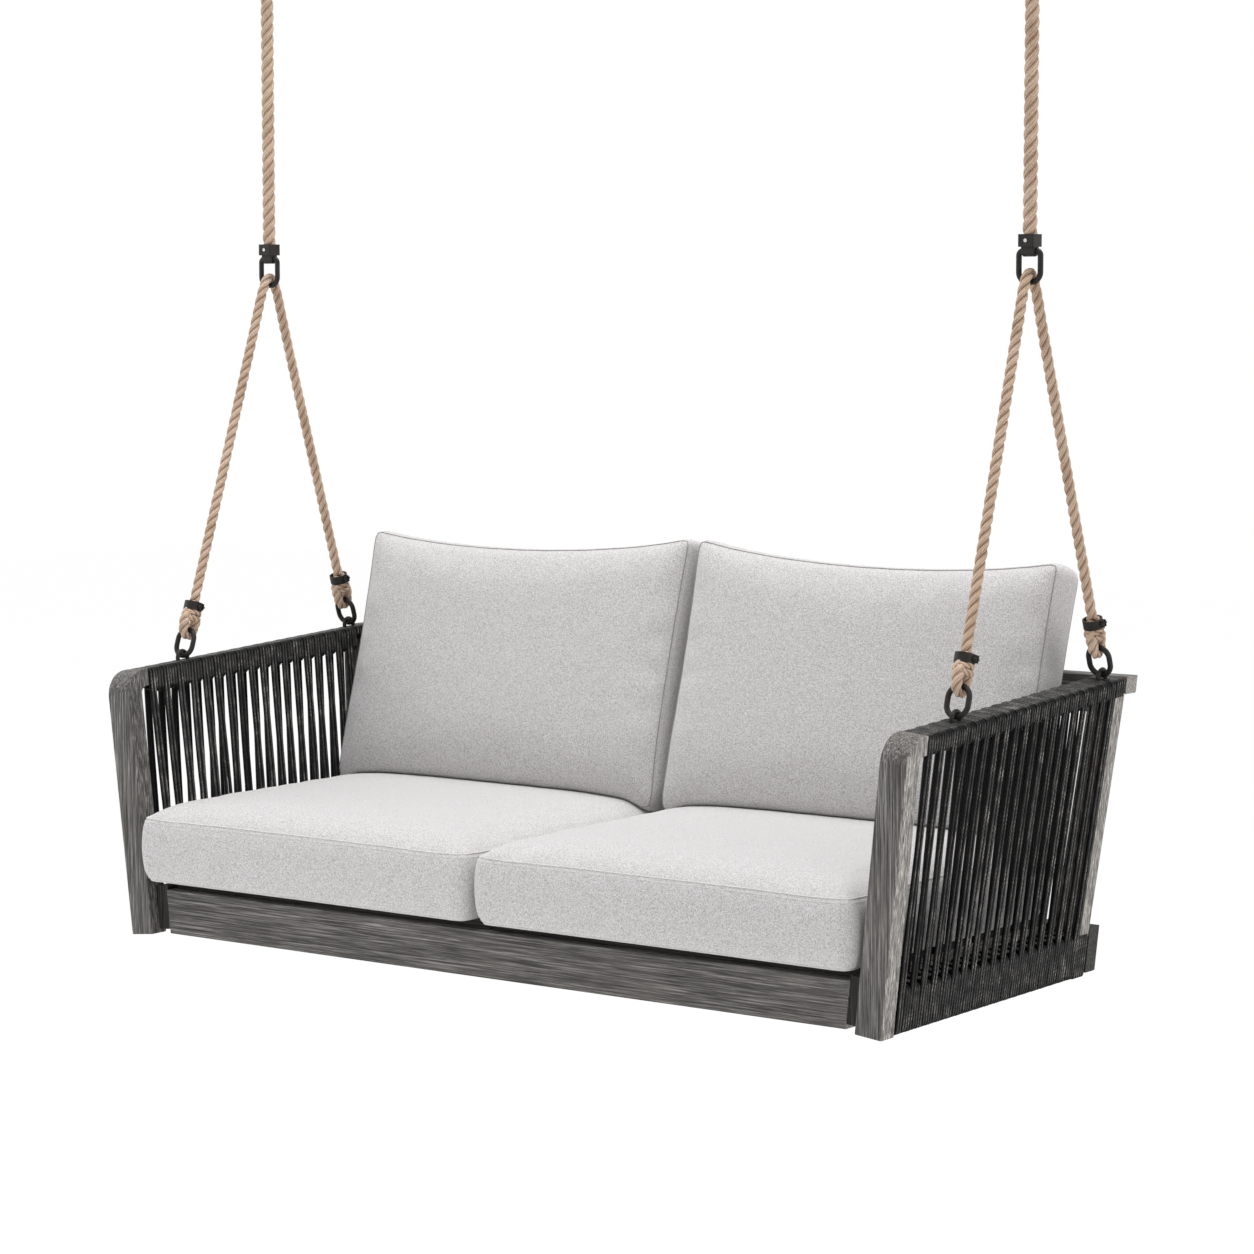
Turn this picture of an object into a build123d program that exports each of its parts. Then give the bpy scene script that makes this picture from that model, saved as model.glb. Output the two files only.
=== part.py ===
"""Two-seat porch swing that hangs from a ceiling on two ropes.

Origin: the ceiling plane, midway between the two ceiling plates.
+X runs along the seat to a sitter's left (the viewer's right), +Y to the back, +Z up. Millimetres.
"""
import os
from math import atan2, cos, radians, sin, sqrt, tan

from build123d import *

os.makedirs("parts", exist_ok=True)

# Hanging height and spacing
rope_inset = 6.94  # upper ropes inside the middle of the arms' tops
link_drop = 525.0  # ceiling to the middle of the bridle links
arm_drop = 1040.0  # middle of the bridle links to the feet of the arms

# Ceiling plates and links
plate_width = 44.0
plate_length = 96.0
plate_thickness = 5.0
plate_hole_spacing = 66.0
plate_hole_radius = 3.5
lug_thickness = 8.0
lug_radius = 12.0
lug_drop = 17.0  # plate's underside to the swing axis
link_bar = 8.0
link_width = 34.0  # between the middles of a link's side bars
link_corner = 6.5
ceiling_link_height = 40.0  # between the middles of a link's end bars
bridle_link_height = 43.0
bridle_bar_lift = 11.0  # middle of the bridle link's top bar above the link level
bridle_link_round = 14.0
pivot_clearance = 0.05

# Rope clamps
clamp_width = 25.0
clamp_depth = 25.0
clamp_tongue_width = 20.8
clamp_tongue_radius = 8.0
clamp_body_height = 17.5
clamp_shoulder = 5.5  # bar axis to the clamp's wide body
socket_depth = 14.0
rivet_radius = 1.8
rivet_head_radius = 2.6
rivet_head_height = 1.0
seat_clearance = 0.1  # between rope, rivet, collar and what they sit in

# Ropes, knots, collars and rings
upper_rope = 20.6
bridle_rope = 16.0
rope_rest = 0.3  # between a rope and the bar that it goes round
saddle_fit = 0.98  # bend of the rope over the link, as a share of the tightest one
ring_bar = 8.0
ring_width = 33.0  # between the middles of the ring's sides
ring_height = 43.0  # between the middles of the ring's ends
knot_radius = 17.0
knot_low = 6.5  # above the middle of the ring's top bar
knot_high = 31.0
collar_height = 13.5
collar_wall = 2.4
neck_radius = 12.3
staple_bar = 6.5
staple_span = 22.0
staple_rise = 20.3  # top of the staple's centre line above the rail's core
staple_root = 8.0

# Arm frames, in the plane of an arm: u along Y, v up the splayed arm from its foot
arm_splay = 6.15
arm_seat_room = 6.12  # arm's inner face to the seat cushion, halfway up the cushion
post_width = 43.0
post_depth = 31.0
post_front = -351.0
post_lean = 0.8
post_corner = 40.0
post_inner_corner = 12.0
post_end_height = 27.0
wood_edge = 2.0
wrap_start = -308.0  # where the bare post ends and the cord begins
arm_rise = 3.2
arm_core_top = 405.0  # at wrap_start
core_width = 33.0
core_height = 16.0
core_edge = 3.0
base_core_low = 8.0
base_core_high = 62.0
rear_post_setback = 9.0  # behind the seat cushion, at the top of the base rail
rear_post_depth = 28.0
rear_post_lean = 5.0

# Aprons, back rails and seat, heights above the arms' feet
apron_low = 6.0
apron_high = 74.0
front_apron_front = -335.0
front_apron_depth = 30.0
corner_block_width = 24.0
corner_block_setback = 2.0
corner_block_depth = 38.0
rear_apron_setback = 38.5  # behind the seat cushion
rear_apron_depth = 29.0
top_rail_setback = 69.0  # behind the seat cushion
top_rail_depth = 32.0
top_rail_low = 415.0
top_rail_high = 441.0
back_core_depth = 22.0
back_low_setback = 30.0  # behind the seat cushion, to the middle of the lower back rail
back_low_height = 155.0
back_high_setback = 79.5
back_high_height = 393.0
back_rail_inset = 15.16  # ends of the upper back rail inside the arms' outer faces
centre_post_width = 30.0
tie_beam_width = 34.0
tie_beam_height = 40.0
slat_count = 5
slat_gap = 14.0
slat_setback = 18.0  # behind the front of the apron
slat_rim = 2.0  # between the slats and what they end at
slat_end_room = 5.4
slat_thickness = 15.0

# Cord windings
cord = 6.5
cord_clearance = 0.5
cord_bend = 6.5
cord_twin = 7.3  # between the two cords of a doubled strand
arm_strands = 19
front_ring_strand = 3
front_ring_u = -205.0
rear_ring_setback = 31.0  # behind the seat cushion
first_foot_u = -309.5
first_top_u = -299.5
last_foot_inset = 6.0  # last strand's foot in front of the seat cushion's rear
back_strands = 22
back_strand_inner = 34.0
back_strand_room = 38.2  # last strand to the arm's inner face
spacer_thickness = 6.0
spacer_gap = 0.8
spacer_least = 2.5  # width below which a spacer is left out
spacer_slack = 1.3  # above and below a rail's core, which a sleeve on a sloping rail needs
base_spacer_thickness = 4.8  # inside the faces of the posts

# Cushions
seat_cushion_width = 648.0
seat_cushion_depth = 550.0
seat_cushion_front = -378.0
cushion_gap = 6.0  # between the two cushions of a pair
cushion_rest = 0.3  # above what carries it
seat_cushion_edge = 111.0  # height of the sewn sides
seat_cushion_crown = 18.0
back_cushion_inset = 2.0  # how much narrower a back cushion is than a seat cushion
back_cushion_height = 414.0
back_cushion_edge = 70.0
back_cushion_crown = 22.0
back_cushion_rear_crown = 12.0
back_cushion_lean = 15.2
back_cushion_foot_inset = 82.0  # its front foot in front of the seat cushion's rear
back_cushion_foot = 219.0
seat_cushion_corner = 22.0
back_cushion_corner = 14.0
seat_corner_growth = 0.3  # of a cushion's corner radius, for each mm that a section is inset
back_corner_growth = 0.1
seat_cushion_bows = (3.0, 2.0, 4.0, 2.0)  # how far the sides pull in: front, right, rear, left
back_cushion_bows = (1.0, 2.0, 25.0, 2.0)  # bottom, right, top, left
# Sections of the cushions: share of the side's height or of the crown, and inset from the outline
seat_side_layers = ((0.0, 24.0), (0.06, 8.0), (0.16, 2.0), (0.5, 0.0), (0.91, 2.0), (1.0, 8.0))
seat_crown_layers = ((0.5, 45.0), (0.85, 110.0), (1.0, 180.0))
back_cushion_layers = ((1.0, 125.0), (0.87, 80.0), (0.6, 40.0), (0.28, 12.0), (0.0, 2.0))

# Screws at the back
screw_radius = 2.5
screw_length = 52.0
screw_head_radius = 5.0
screw_head_height = 2.6
rear_apron_screw_span = 30.0

SIDES = ((-1, "left"), (1, "right"))
foot_z = -(link_drop + arm_drop)
swing_axis_z = -(plate_thickness + lug_drop)
top_clamp_z = swing_axis_z - ceiling_link_height
tilt_axis_z = -link_drop + bridle_bar_lift
saddle_z = tilt_axis_z - bridle_link_height
splay_slope = tan(radians(arm_splay))
post_across = post_width / cos(radians(arm_splay))
seat_end = cushion_gap / 2 + seat_cushion_width
seat_middle = apron_high + slat_thickness + seat_cushion_edge / 2
arm_foot_x = seat_end + arm_seat_room + post_across - seat_middle * splay_slope
rope_spacing = 2 * (arm_foot_x + arm_core_top * splay_slope - post_width / 2 - rope_inset)
seat_back = seat_cushion_front + seat_cushion_depth
rear_post_front = seat_back + rear_post_setback
rear_apron_front = seat_back + rear_apron_setback
top_rail_front = seat_back + top_rail_setback
back_low_y = seat_back + back_low_setback
back_high_y = seat_back + back_high_setback
rear_ring_u = seat_back + rear_ring_setback
last_foot_u = seat_back - last_foot_inset
back_cushion_foot_y = seat_back - back_cushion_foot_inset
back_cushion_width = seat_cushion_width - back_cushion_inset
rise_slope = tan(radians(arm_rise))


def save(piece, name):
    """Label a finished sub-part and write it."""
    piece.part.label = name
    export_step(piece.part, f"parts/{name}.step")


def height(above_feet):
    """Height above the arms' feet as a Z value."""
    return foot_z + above_feet


def arm_outer_x(above_feet):
    """X of the outer face of the right arm at a height above the feet."""
    return arm_foot_x + above_feet * splay_slope


def arm_inner_x(above_feet):
    """X of the inner face of the right arm's posts at a height above the feet."""
    return arm_outer_x(above_feet) - post_across


def arm_plane(side, outward=0.0):
    """Plane of an arm's outer face: local x is +Y, local y runs up the arm."""
    splay = radians(arm_splay)
    face = Plane(
        origin=(side * arm_foot_x, 0, foot_z),
        x_dir=(0, 1, 0),
        z_dir=(cos(splay), 0, -side * sin(splay)),
    )
    return face.offset(side * outward)


def core_top(u):
    """Height of the arm rail's core up the arm, at u."""
    return arm_core_top + (u - wrap_start) * rise_slope


def post_line(u_at_foot, v):
    """u of a line that leans forward with the front post."""
    return u_at_foot - v * tan(radians(post_lean))


def rear_line(u_at_base, v):
    """u of a line that leans back with the rear post."""
    return u_at_base + (v - base_core_high) * tan(radians(rear_post_lean))


def quarter_turn_path(points, bend):
    """Straight runs joined by quarter turns. Every corner of the points is a right angle."""
    start = points[0]
    for before, corner, after in zip(points, points[1:], points[2:]):
        back = (before - corner).normalized()
        ahead = (after - corner).normalized()
        inside = (back + ahead).normalized()
        arc_start = corner + back * bend
        arc_end = corner + ahead * bend
        arc_middle = corner + inside * bend * (sqrt(2) - 1)
        Line(start, arc_start)
        ThreePointArc(arc_start, arc_middle, arc_end)
        start = arc_end
    Line(start, points[-1])


def winding_points(feet, tops, foot_low, top_high, reach):
    """Corner points of one cord wound round a lower and an upper rail.

    feet and tops are the places of the strands along the rails. The outer legs go straight up and
    each inner leg comes down to the next strand's foot.
    """
    points = [(feet[0], foot_low, 0)]
    for index, (foot, top) in enumerate(zip(feet, tops)):
        points += [(foot, foot_low, reach), (top, top_high(top), reach), (top, top_high(top), -reach)]
        if index + 1 < len(feet):
            points.append((feet[index + 1], foot_low, -reach))
    last = tops[-1]
    points.append((last, top_high(last) - cord_bend - cord, -reach))
    return points


def path_length(path):
    """Length of a path's runs and arcs."""
    return sum(edge.length for edge in path.edges())


def least_gap(wires, steps_per_run=10):
    """Least surface gap between the runs of wound cords, measured on points of their centre lines."""
    runs = []
    for wire in wires:
        edges = wire.edges()
        ordered = [[edge @ (step / steps_per_run) for step in range(steps_per_run + 1)] for edge in edges]
        runs.append(ordered)
    least = 1e9
    for first, cord_runs in enumerate(runs):
        for other in runs[first:]:
            for index, run in enumerate(cord_runs):
                near = other[max(0, index - 4):index + 5]
                if other is cord_runs:
                    near = other[index + 4:index + 9]
                for near_run in near:
                    for a in run:
                        for b in near_run:
                            least = min(least, (a - b).length)
    return least - cord


def rope_leg(side, ring_u):
    """Middle of a ring's lower bar, and the direction of the rope from there to its saddle."""
    bar_height = staple_rise - staple_bar / 2 - ring_bar / 2 - rope_rest
    low = arm_plane(side, -post_width / 2).from_local_coords((ring_u, core_top(ring_u) + bar_height, 0))
    saddle = link_bar / 2 + bridle_rope / 2 + rope_rest
    toward = 1 if ring_u > 0 else -1
    lean = radians(20)
    for _ in range(8):
        corner_y = toward * saddle * tan((radians(90) - lean) / 2)
        lean = atan2(abs(low.Y - corner_y), saddle_z + saddle - low.Z)
    corner = Vector(side * rope_spacing / 2, corner_y, saddle_z + saddle)
    return low, (corner - low).normalized(), corner


# Ceiling plates
with BuildPart() as ceiling_plate:
    with BuildSketch(Plane.XY.offset(-plate_thickness)):
        RectangleRounded(plate_width, plate_length, plate_width / 4)
        with GridLocations(0, plate_hole_spacing, 1, 2):
            Circle(plate_hole_radius, mode=Mode.SUBTRACT)
    extrude(amount=plate_thickness)
    with BuildSketch(Plane.YZ.offset(-lug_thickness / 2)):
        with Locations((0, swing_axis_z)):
            Circle(lug_radius)
        with Locations((0, (swing_axis_z - plate_thickness) / 2)):
            Rectangle(2 * lug_radius, lug_drop)
        with Locations((0, swing_axis_z)):
            Circle(link_bar / 2 + pivot_clearance, mode=Mode.SUBTRACT)
    extrude(amount=lug_thickness)

for side, hand in SIDES:
    with BuildPart() as placed_plate:
        with Locations((side * rope_spacing / 2, 0, 0)):
            add(ceiling_plate.part)
    save(placed_plate, f"ceiling_plate_{hand}")

# Oval links: the ceiling links swing in the lugs, the bridle links hang in the lower clamps
for name, top_bar_z, link_height, low_corner in (
    ("ceiling_link", swing_axis_z, ceiling_link_height, link_corner),
    ("bridle_link", tilt_axis_z, bridle_link_height, bridle_link_round),
):
    for side, hand in SIDES:
        with BuildPart() as link:
            bar_middle = (side * rope_spacing / 2, 0, top_bar_z)
            with BuildLine(Plane(origin=bar_middle, x_dir=(1, 0, 0), z_dir=(0, -1, 0))) as link_path:
                FilletPolyline(
                    (-link_width / 2, 0),
                    (link_width / 2, 0),
                    (link_width / 2, -link_height),
                    (-link_width / 2, -link_height),
                    radius=(link_corner, link_corner, low_corner, low_corner),
                    close=True,
                )
            with BuildSketch(Plane(link_path.line @ 0, z_dir=link_path.line % 0)):
                Circle(link_bar / 2)
            sweep(path=link_path.line)
        save(link, f"{name}_{hand}")

# Rope clamps: a tongue round the link's bar, and a body that holds the rope's end with a rivet
for name, bar_z, up in (("rope_clamp_top", top_clamp_z, -1), ("rope_clamp_bottom", tilt_axis_z, 1)):
    for side, hand in SIDES:
        middle_x = side * rope_spacing / 2
        body_start = bar_z + up * clamp_shoulder
        rivet_z = body_start + up * clamp_body_height / 2
        with BuildPart() as clamp:
            with BuildSketch(Plane.YZ.offset(middle_x - clamp_tongue_width / 2)):
                with Locations((0, bar_z)):
                    Circle(clamp_tongue_radius)
                with Locations((0, bar_z + up * clamp_shoulder / 2)):
                    Rectangle(2 * clamp_tongue_radius, clamp_shoulder)
            extrude(amount=clamp_tongue_width)
            with Locations((middle_x, 0, body_start + up * clamp_body_height / 2)):
                Box(clamp_width, clamp_depth, clamp_body_height)
            fillet(clamp.edges().filter_by(Axis.Z), wood_edge)
            with BuildSketch(Plane.YZ.offset(middle_x - clamp_width / 2)):
                with Locations((0, bar_z)):
                    Circle(link_bar / 2 + pivot_clearance)
            extrude(amount=clamp_width, mode=Mode.SUBTRACT)
            with BuildSketch(Plane.XY.offset(body_start + up * (clamp_body_height - socket_depth))):
                with Locations((middle_x, 0)):
                    Circle(upper_rope / 2 + seat_clearance)
            extrude(amount=up * socket_depth, mode=Mode.SUBTRACT)
            with BuildSketch(Plane.XZ.offset(-clamp_depth / 2)):
                with Locations((middle_x, rivet_z)):
                    Circle(rivet_radius + seat_clearance)
            extrude(amount=clamp_depth, mode=Mode.SUBTRACT)
        save(clamp, f"{name}_{hand}")

# Rivets through the clamps and the rope ends
for side, hand in SIDES:
    with BuildPart() as rivets:
        for bar_z, up in ((top_clamp_z, -1), (tilt_axis_z, 1)):
            rivet_z = bar_z + up * (clamp_shoulder + clamp_body_height / 2)
            for face in (-1, 1):
                with BuildSketch(Plane.XZ.offset(-face * clamp_depth / 2)):
                    with Locations((side * rope_spacing / 2, rivet_z)):
                        Circle(rivet_head_radius)
                extrude(amount=-face * rivet_head_height)
            with BuildSketch(Plane.XZ.offset(-clamp_depth / 2)):
                with Locations((side * rope_spacing / 2, rivet_z)):
                    Circle(rivet_radius)
            extrude(amount=clamp_depth)
    save(rivets, f"clamp_rivets_{hand}")

# Upper ropes, from the bottom of one socket to the other
rope_top = top_clamp_z - clamp_shoulder - clamp_body_height + socket_depth - seat_clearance
rope_low = tilt_axis_z + clamp_shoulder + clamp_body_height - socket_depth + seat_clearance
for side, hand in SIDES:
    with BuildPart() as upper_rope_piece:
        with BuildSketch(Plane.XY.offset(rope_low)):
            with Locations((side * rope_spacing / 2, 0)):
                Circle(upper_rope / 2)
        extrude(amount=rope_top - rope_low)
        for rivet_z in (
            top_clamp_z - clamp_shoulder - clamp_body_height / 2,
            tilt_axis_z + clamp_shoulder + clamp_body_height / 2,
        ):
            with BuildSketch(Plane.XZ.offset(-clamp_depth / 2)):
                with Locations((side * rope_spacing / 2, rivet_z)):
                    Circle(rivet_radius + seat_clearance)
            extrude(amount=clamp_depth, mode=Mode.SUBTRACT)
    save(upper_rope_piece, f"upper_rope_{hand}")
print(f"upper rope length {rope_top - rope_low:.1f}")

# Bridle ropes: two taut legs joined over the link's lower bar
leg_start = ring_height + knot_high + collar_height + seat_clearance
for side, hand in SIDES:
    front_low, front_way, front_corner = rope_leg(side, front_ring_u)
    rear_low, rear_way, rear_corner = rope_leg(side, rear_ring_u)
    saddle_radius = saddle_fit * (link_bar / 2 + bridle_rope / 2 + rope_rest)
    with BuildPart() as bridle:
        with BuildLine() as bridle_path:
            FilletPolyline(
                front_low + front_way * leg_start,
                front_corner,
                rear_corner,
                rear_low + rear_way * leg_start,
                radius=(saddle_radius, saddle_radius),
            )
        with BuildSketch(Plane(bridle_path.line @ 0, z_dir=bridle_path.line % 0)):
            Circle(bridle_rope / 2)
        sweep(path=bridle_path.line)
    save(bridle, f"bridle_rope_{hand}")
    print(f"bridle rope {hand}: length {path_length(bridle_path):.1f}, saddle radius {saddle_radius:.2f}")

# Knots, collars, rings and staples at the rope ends
for side, hand in SIDES:
    legs = [rope_leg(side, ring_u)[:2] for ring_u in (front_ring_u, rear_ring_u)]
    loop_radius = ring_bar / 2 + bridle_rope / 2 + rope_rest
    with BuildPart() as knots:
        for low, way in legs:
            across = (Vector(1, 0, 0) - way * way.X).normalized()
            eye = Plane(origin=low + way * ring_height, x_dir=way.cross(across), z_dir=across)
            with BuildSketch(eye):
                with BuildLine():
                    Polyline(
                        (0, knot_low),
                        (neck_radius, knot_low),
                        (knot_radius, knot_low + (knot_radius - neck_radius)),
                        (knot_radius, knot_high - (knot_radius - neck_radius)),
                        (neck_radius, knot_high),
                        (neck_radius, knot_high + collar_height),
                        (0, knot_high + collar_height),
                        close=True,
                    )
                make_face()
            revolve(axis=Axis(eye.origin, eye.y_dir), revolution_arc=360)
            with BuildLine(eye) as loop_path:
                Line((-loop_radius, knot_low + bridle_rope / 2), (-loop_radius, 0))
                ThreePointArc((-loop_radius, 0), (0, -loop_radius), (loop_radius, 0))
                Line((loop_radius, 0), (loop_radius, knot_low + bridle_rope / 2))
            with BuildSketch(Plane(loop_path.line @ 0, z_dir=loop_path.line % 0)):
                Circle(bridle_rope / 2)
            sweep(path=loop_path.line)
    save(knots, f"rope_knots_{hand}")

    with BuildPart() as collars:
        for low, way in legs:
            with BuildSketch(Plane(low + way * (ring_height + knot_high), z_dir=way)):
                Circle(neck_radius + seat_clearance + collar_wall)
                Circle(neck_radius + seat_clearance, mode=Mode.SUBTRACT)
            extrude(amount=collar_height)
    save(collars, f"rope_collars_{hand}")

    with BuildPart() as rings:
        for low, way in legs:
            across = (Vector(1, 0, 0) - way * way.X).normalized()
            ring_face = Plane(low + way * (ring_height / 2), x_dir=across, z_dir=across.cross(way))
            straight = (ring_height - ring_width) / 2
            half = ring_width / 2
            with BuildLine(ring_face) as ring_path:
                Line((half, -straight), (half, straight))
                ThreePointArc((half, straight), (0, straight + half), (-half, straight))
                Line((-half, straight), (-half, -straight))
                ThreePointArc((-half, -straight), (0, -straight - half), (half, -straight))
            with BuildSketch(Plane(ring_path.line @ 0, z_dir=ring_path.line % 0)):
                Circle(ring_bar / 2)
            sweep(path=ring_path.line)
    save(rings, f"arm_rings_{hand}")

    with BuildPart() as staples:
        for ring_u in (front_ring_u, rear_ring_u):
            foot = core_top(ring_u)
            half = staple_span / 2
            with BuildLine(arm_plane(side, -post_width / 2)) as staple_path:
                Line((ring_u - half, foot - staple_root), (ring_u - half, foot + staple_rise - half))
                ThreePointArc(
                    (ring_u - half, foot + staple_rise - half),
                    (ring_u, foot + staple_rise),
                    (ring_u + half, foot + staple_rise - half),
                )
                Line((ring_u + half, foot + staple_rise - half), (ring_u + half, foot - staple_root))
            with BuildSketch(Plane(staple_path.line @ 0, z_dir=staple_path.line % 0)):
                Circle(staple_bar / 2)
            sweep(path=staple_path.line)
    save(staples, f"ring_staples_{hand}")

# Screws that hold the rear boards: (x, y of the head's seat, height)
screw_spots = []
for side, hand in SIDES:
    top_middle = (top_rail_low + top_rail_high) / 2
    post_middle = post_across / 2
    top_x = side * (arm_outer_x(top_middle) - post_middle)
    screw_spots.append((top_x, top_rail_front + top_rail_depth, top_middle))
    apron_middle = (apron_low + apron_high) / 2
    for step in (-0.5, 0.5):
        level = apron_middle + step * rear_apron_screw_span
        apron_x = side * (arm_outer_x(level) - post_middle)
        screw_spots.append((apron_x, rear_apron_front + rear_apron_depth, level))

with BuildPart() as screws:
    for x, y, level in screw_spots:
        with BuildSketch(Plane.XZ.offset(-y)):
            with Locations((x, height(level))):
                Circle(screw_head_radius)
        extrude(amount=-screw_head_height)
        with BuildSketch(Plane.XZ.offset(-y)):
            with Locations((x, height(level))):
                Circle(screw_radius)
        extrude(amount=screw_length)
save(screws, "frame_screws")


def screw_holes():
    """Cut the screws' shanks out of the piece that is being built."""
    for x, y, level in screw_spots:
        with BuildSketch(Plane.XZ.offset(-y)) as hole:
            with Locations((x, height(level))):
                Circle(screw_radius + seat_clearance)
        extrude(hole.sketch, amount=screw_length + seat_clearance, mode=Mode.SUBTRACT)


def staple_holes(side):
    """Cut the legs of an arm's staples out of the piece that is being built."""
    for ring_u in (front_ring_u, rear_ring_u):
        for leg in (-staple_span / 2, staple_span / 2):
            low = (ring_u + leg, core_top(ring_u) - staple_root - seat_clearance, 0)
            low = arm_plane(side, -post_width / 2).from_local_coords(low)
            with BuildSketch(Plane(low, z_dir=arm_plane(side).y_dir)) as hole:
                Circle(staple_bar / 2 + seat_clearance)
            extrude(hole.sketch, amount=staple_root + core_height, mode=Mode.SUBTRACT)


def under_rail(u_at_base):
    """Point where a line of the rear post meets the arm rail's underside."""
    lean_slope = tan(radians(rear_post_lean))
    underside = core_top(0) - core_height
    v = (underside + (u_at_base - base_core_high * lean_slope) * rise_slope) / (1 - lean_slope * rise_slope)
    return (rear_line(u_at_base, v), v)


# Arm frames
core_inset = (post_width - core_width) / 2
foot_back = rear_post_front + rear_post_depth
for side, hand in SIDES:
    cap = arm_core_top + cord
    top_corner_v = cap + (post_line(post_front, cap) - wrap_start) * rise_slope
    top_corner = (post_line(post_front, top_corner_v), top_corner_v)
    under_corner_v = cap - post_end_height
    under_corner = (post_line(post_front + post_depth, under_corner_v), under_corner_v)
    with BuildPart() as front_post:
        with BuildSketch(arm_plane(side)):
            with BuildLine():
                FilletPolyline(
                    (post_front, 0),
                    top_corner,
                    (wrap_start, cap),
                    (wrap_start, under_corner_v),
                    under_corner,
                    (post_front + post_depth, 0),
                    radius=(0, post_corner, 0, 0, post_inner_corner, 0),
                    close=True,
                )
            make_face()
        extrude(amount=-side * post_width)
        fillet(front_post.faces().sort_by(Axis.X)[0].edges(), wood_edge)
        fillet(front_post.faces().sort_by(Axis.X)[-1].edges(), wood_edge)
    save(front_post, f"front_post_{hand}")

    with BuildPart() as arm_rail:
        with BuildSketch(arm_plane(side, -core_inset)):
            with BuildLine():
                Polyline(
                    (wrap_start, core_top(wrap_start)),
                    (top_rail_front, core_top(top_rail_front)),
                    (top_rail_front, core_top(top_rail_front) - core_height),
                    (wrap_start, core_top(wrap_start) - core_height),
                    close=True,
                )
            make_face()
        extrude(amount=-side * core_width)
        fillet(arm_rail.edges().group_by(SortBy.LENGTH)[-1], core_edge)
        staple_holes(side)
        screw_holes()
    save(arm_rail, f"arm_rail_{hand}")

    with BuildPart() as rear_post:
        with BuildSketch(arm_plane(side)):
            with BuildLine():
                Polyline(
                    (rear_post_front, base_core_high),
                    under_rail(rear_post_front),
                    under_rail(foot_back),
                    (foot_back, base_core_high),
                    close=True,
                )
            make_face()
        extrude(amount=-side * post_width)
        fillet(rear_post.edges().group_by(SortBy.LENGTH)[-1], wood_edge)
    save(rear_post, f"rear_post_{hand}")

    with BuildPart() as base_rail:
        with BuildSketch(arm_plane(side, -core_inset)):
            with BuildLine():
                Polyline(
                    (post_line(post_front + post_depth, base_core_low), base_core_low),
                    (rear_apron_front, base_core_low),
                    (rear_apron_front, base_core_high),
                    (post_line(post_front + post_depth, base_core_high), base_core_high),
                    close=True,
                )
            make_face()
        extrude(amount=-side * core_width)
        fillet(base_rail.edges().filter_by(Axis.Y), core_edge)
        screw_holes()
    save(base_rail, f"base_rail_{hand}")

    block_front = front_apron_front + corner_block_setback
    with BuildPart() as corner_block:
        with BuildSketch(arm_plane(side, -post_width)):
            with Locations((block_front + corner_block_depth / 2, (apron_low + apron_high) / 2)):
                Rectangle(corner_block_depth, apron_high - apron_low)
        extrude(amount=-side * corner_block_width)
    save(corner_block, f"corner_block_{hand}")


def cross_board(front_y, depth, low, high, half_at):
    """A board along X whose ends follow the splay of the arms. half_at gives its half length."""
    with BuildSketch(Plane.XZ.offset(-front_y)) as board_face:
        with BuildLine():
            Polyline(
                (-half_at(low), height(low)),
                (half_at(low), height(low)),
                (half_at(high), height(high)),
                (-half_at(high), height(high)),
                close=True,
            )
        make_face()
    extrude(board_face.sketch, amount=-depth)


def back_plane():
    """Plane through the middles of the two corded back rails: local y runs up the back."""
    rise = Vector(0, back_high_y - back_low_y, back_high_height - back_low_height)
    origin = Vector(0, back_low_y, height(back_low_height))
    return Plane(origin=origin, x_dir=(1, 0, 0), z_dir=Vector(1, 0, 0).cross(rise))


back_length = sqrt((back_high_y - back_low_y) ** 2 + (back_high_height - back_low_height) ** 2)
back_low_half = arm_inner_x(back_low_height - core_height)
back_high_half = arm_outer_x(back_high_height) - back_rail_inset
block_across = corner_block_width / cos(radians(arm_splay))

# Aprons, back rails and the beams between the aprons
with BuildPart() as front_apron:
    cross_board(
        front_apron_front,
        front_apron_depth,
        apron_low,
        apron_high,
        lambda level: arm_inner_x(level) - block_across,
    )
    fillet(front_apron.edges().filter_by(Axis.X), wood_edge)
save(front_apron, "front_apron")

with BuildPart() as rear_apron:
    cross_board(rear_apron_front, rear_apron_depth, apron_low, apron_high, arm_outer_x)
    fillet(rear_apron.edges().filter_by(Axis.X), wood_edge)
    screw_holes()
save(rear_apron, "rear_apron")

with BuildPart() as back_top_rail:
    cross_board(top_rail_front, top_rail_depth, top_rail_low, top_rail_high, arm_outer_x)
    fillet(back_top_rail.edges().filter_by(Axis.X), wood_edge)
    screw_holes()
save(back_top_rail, "back_top_rail")

with BuildPart() as back_lower_rail:
    with Locations(Location(back_plane())):
        Box(2 * back_low_half, core_height, back_core_depth)
    fillet(back_lower_rail.edges().filter_by(Axis.X), core_edge)
save(back_lower_rail, "back_lower_rail")

with BuildPart() as back_upper_rail:
    with Locations(Location(back_plane()) * Location((0, back_length, 0))):
        Box(2 * back_high_half, core_height, back_core_depth)
    fillet(back_upper_rail.edges().filter_by(Axis.X), core_edge)
save(back_upper_rail, "back_upper_rail")

with BuildPart() as centre_post:
    with Locations(Location(back_plane()) * Location((0, back_length / 2, 0))):
        Box(centre_post_width, back_length - core_height, back_core_depth)
save(centre_post, "back_centre_post")

beam_front = front_apron_front + front_apron_depth
beam_middle = ((beam_front + rear_apron_front) / 2, height(apron_high - tie_beam_height / 2))
slat_end = arm_inner_x(apron_high) - block_across - slat_end_room
batten_x = slat_end - slat_rim - tie_beam_width / 2
for name, x in (("seat_tie_beam", 0), ("seat_batten_left", -batten_x), ("seat_batten_right", batten_x)):
    with BuildPart() as beam:
        with Locations((x, *beam_middle)):
            Box(tie_beam_width, rear_apron_front - beam_front, tie_beam_height)
    save(beam, name)

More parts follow.
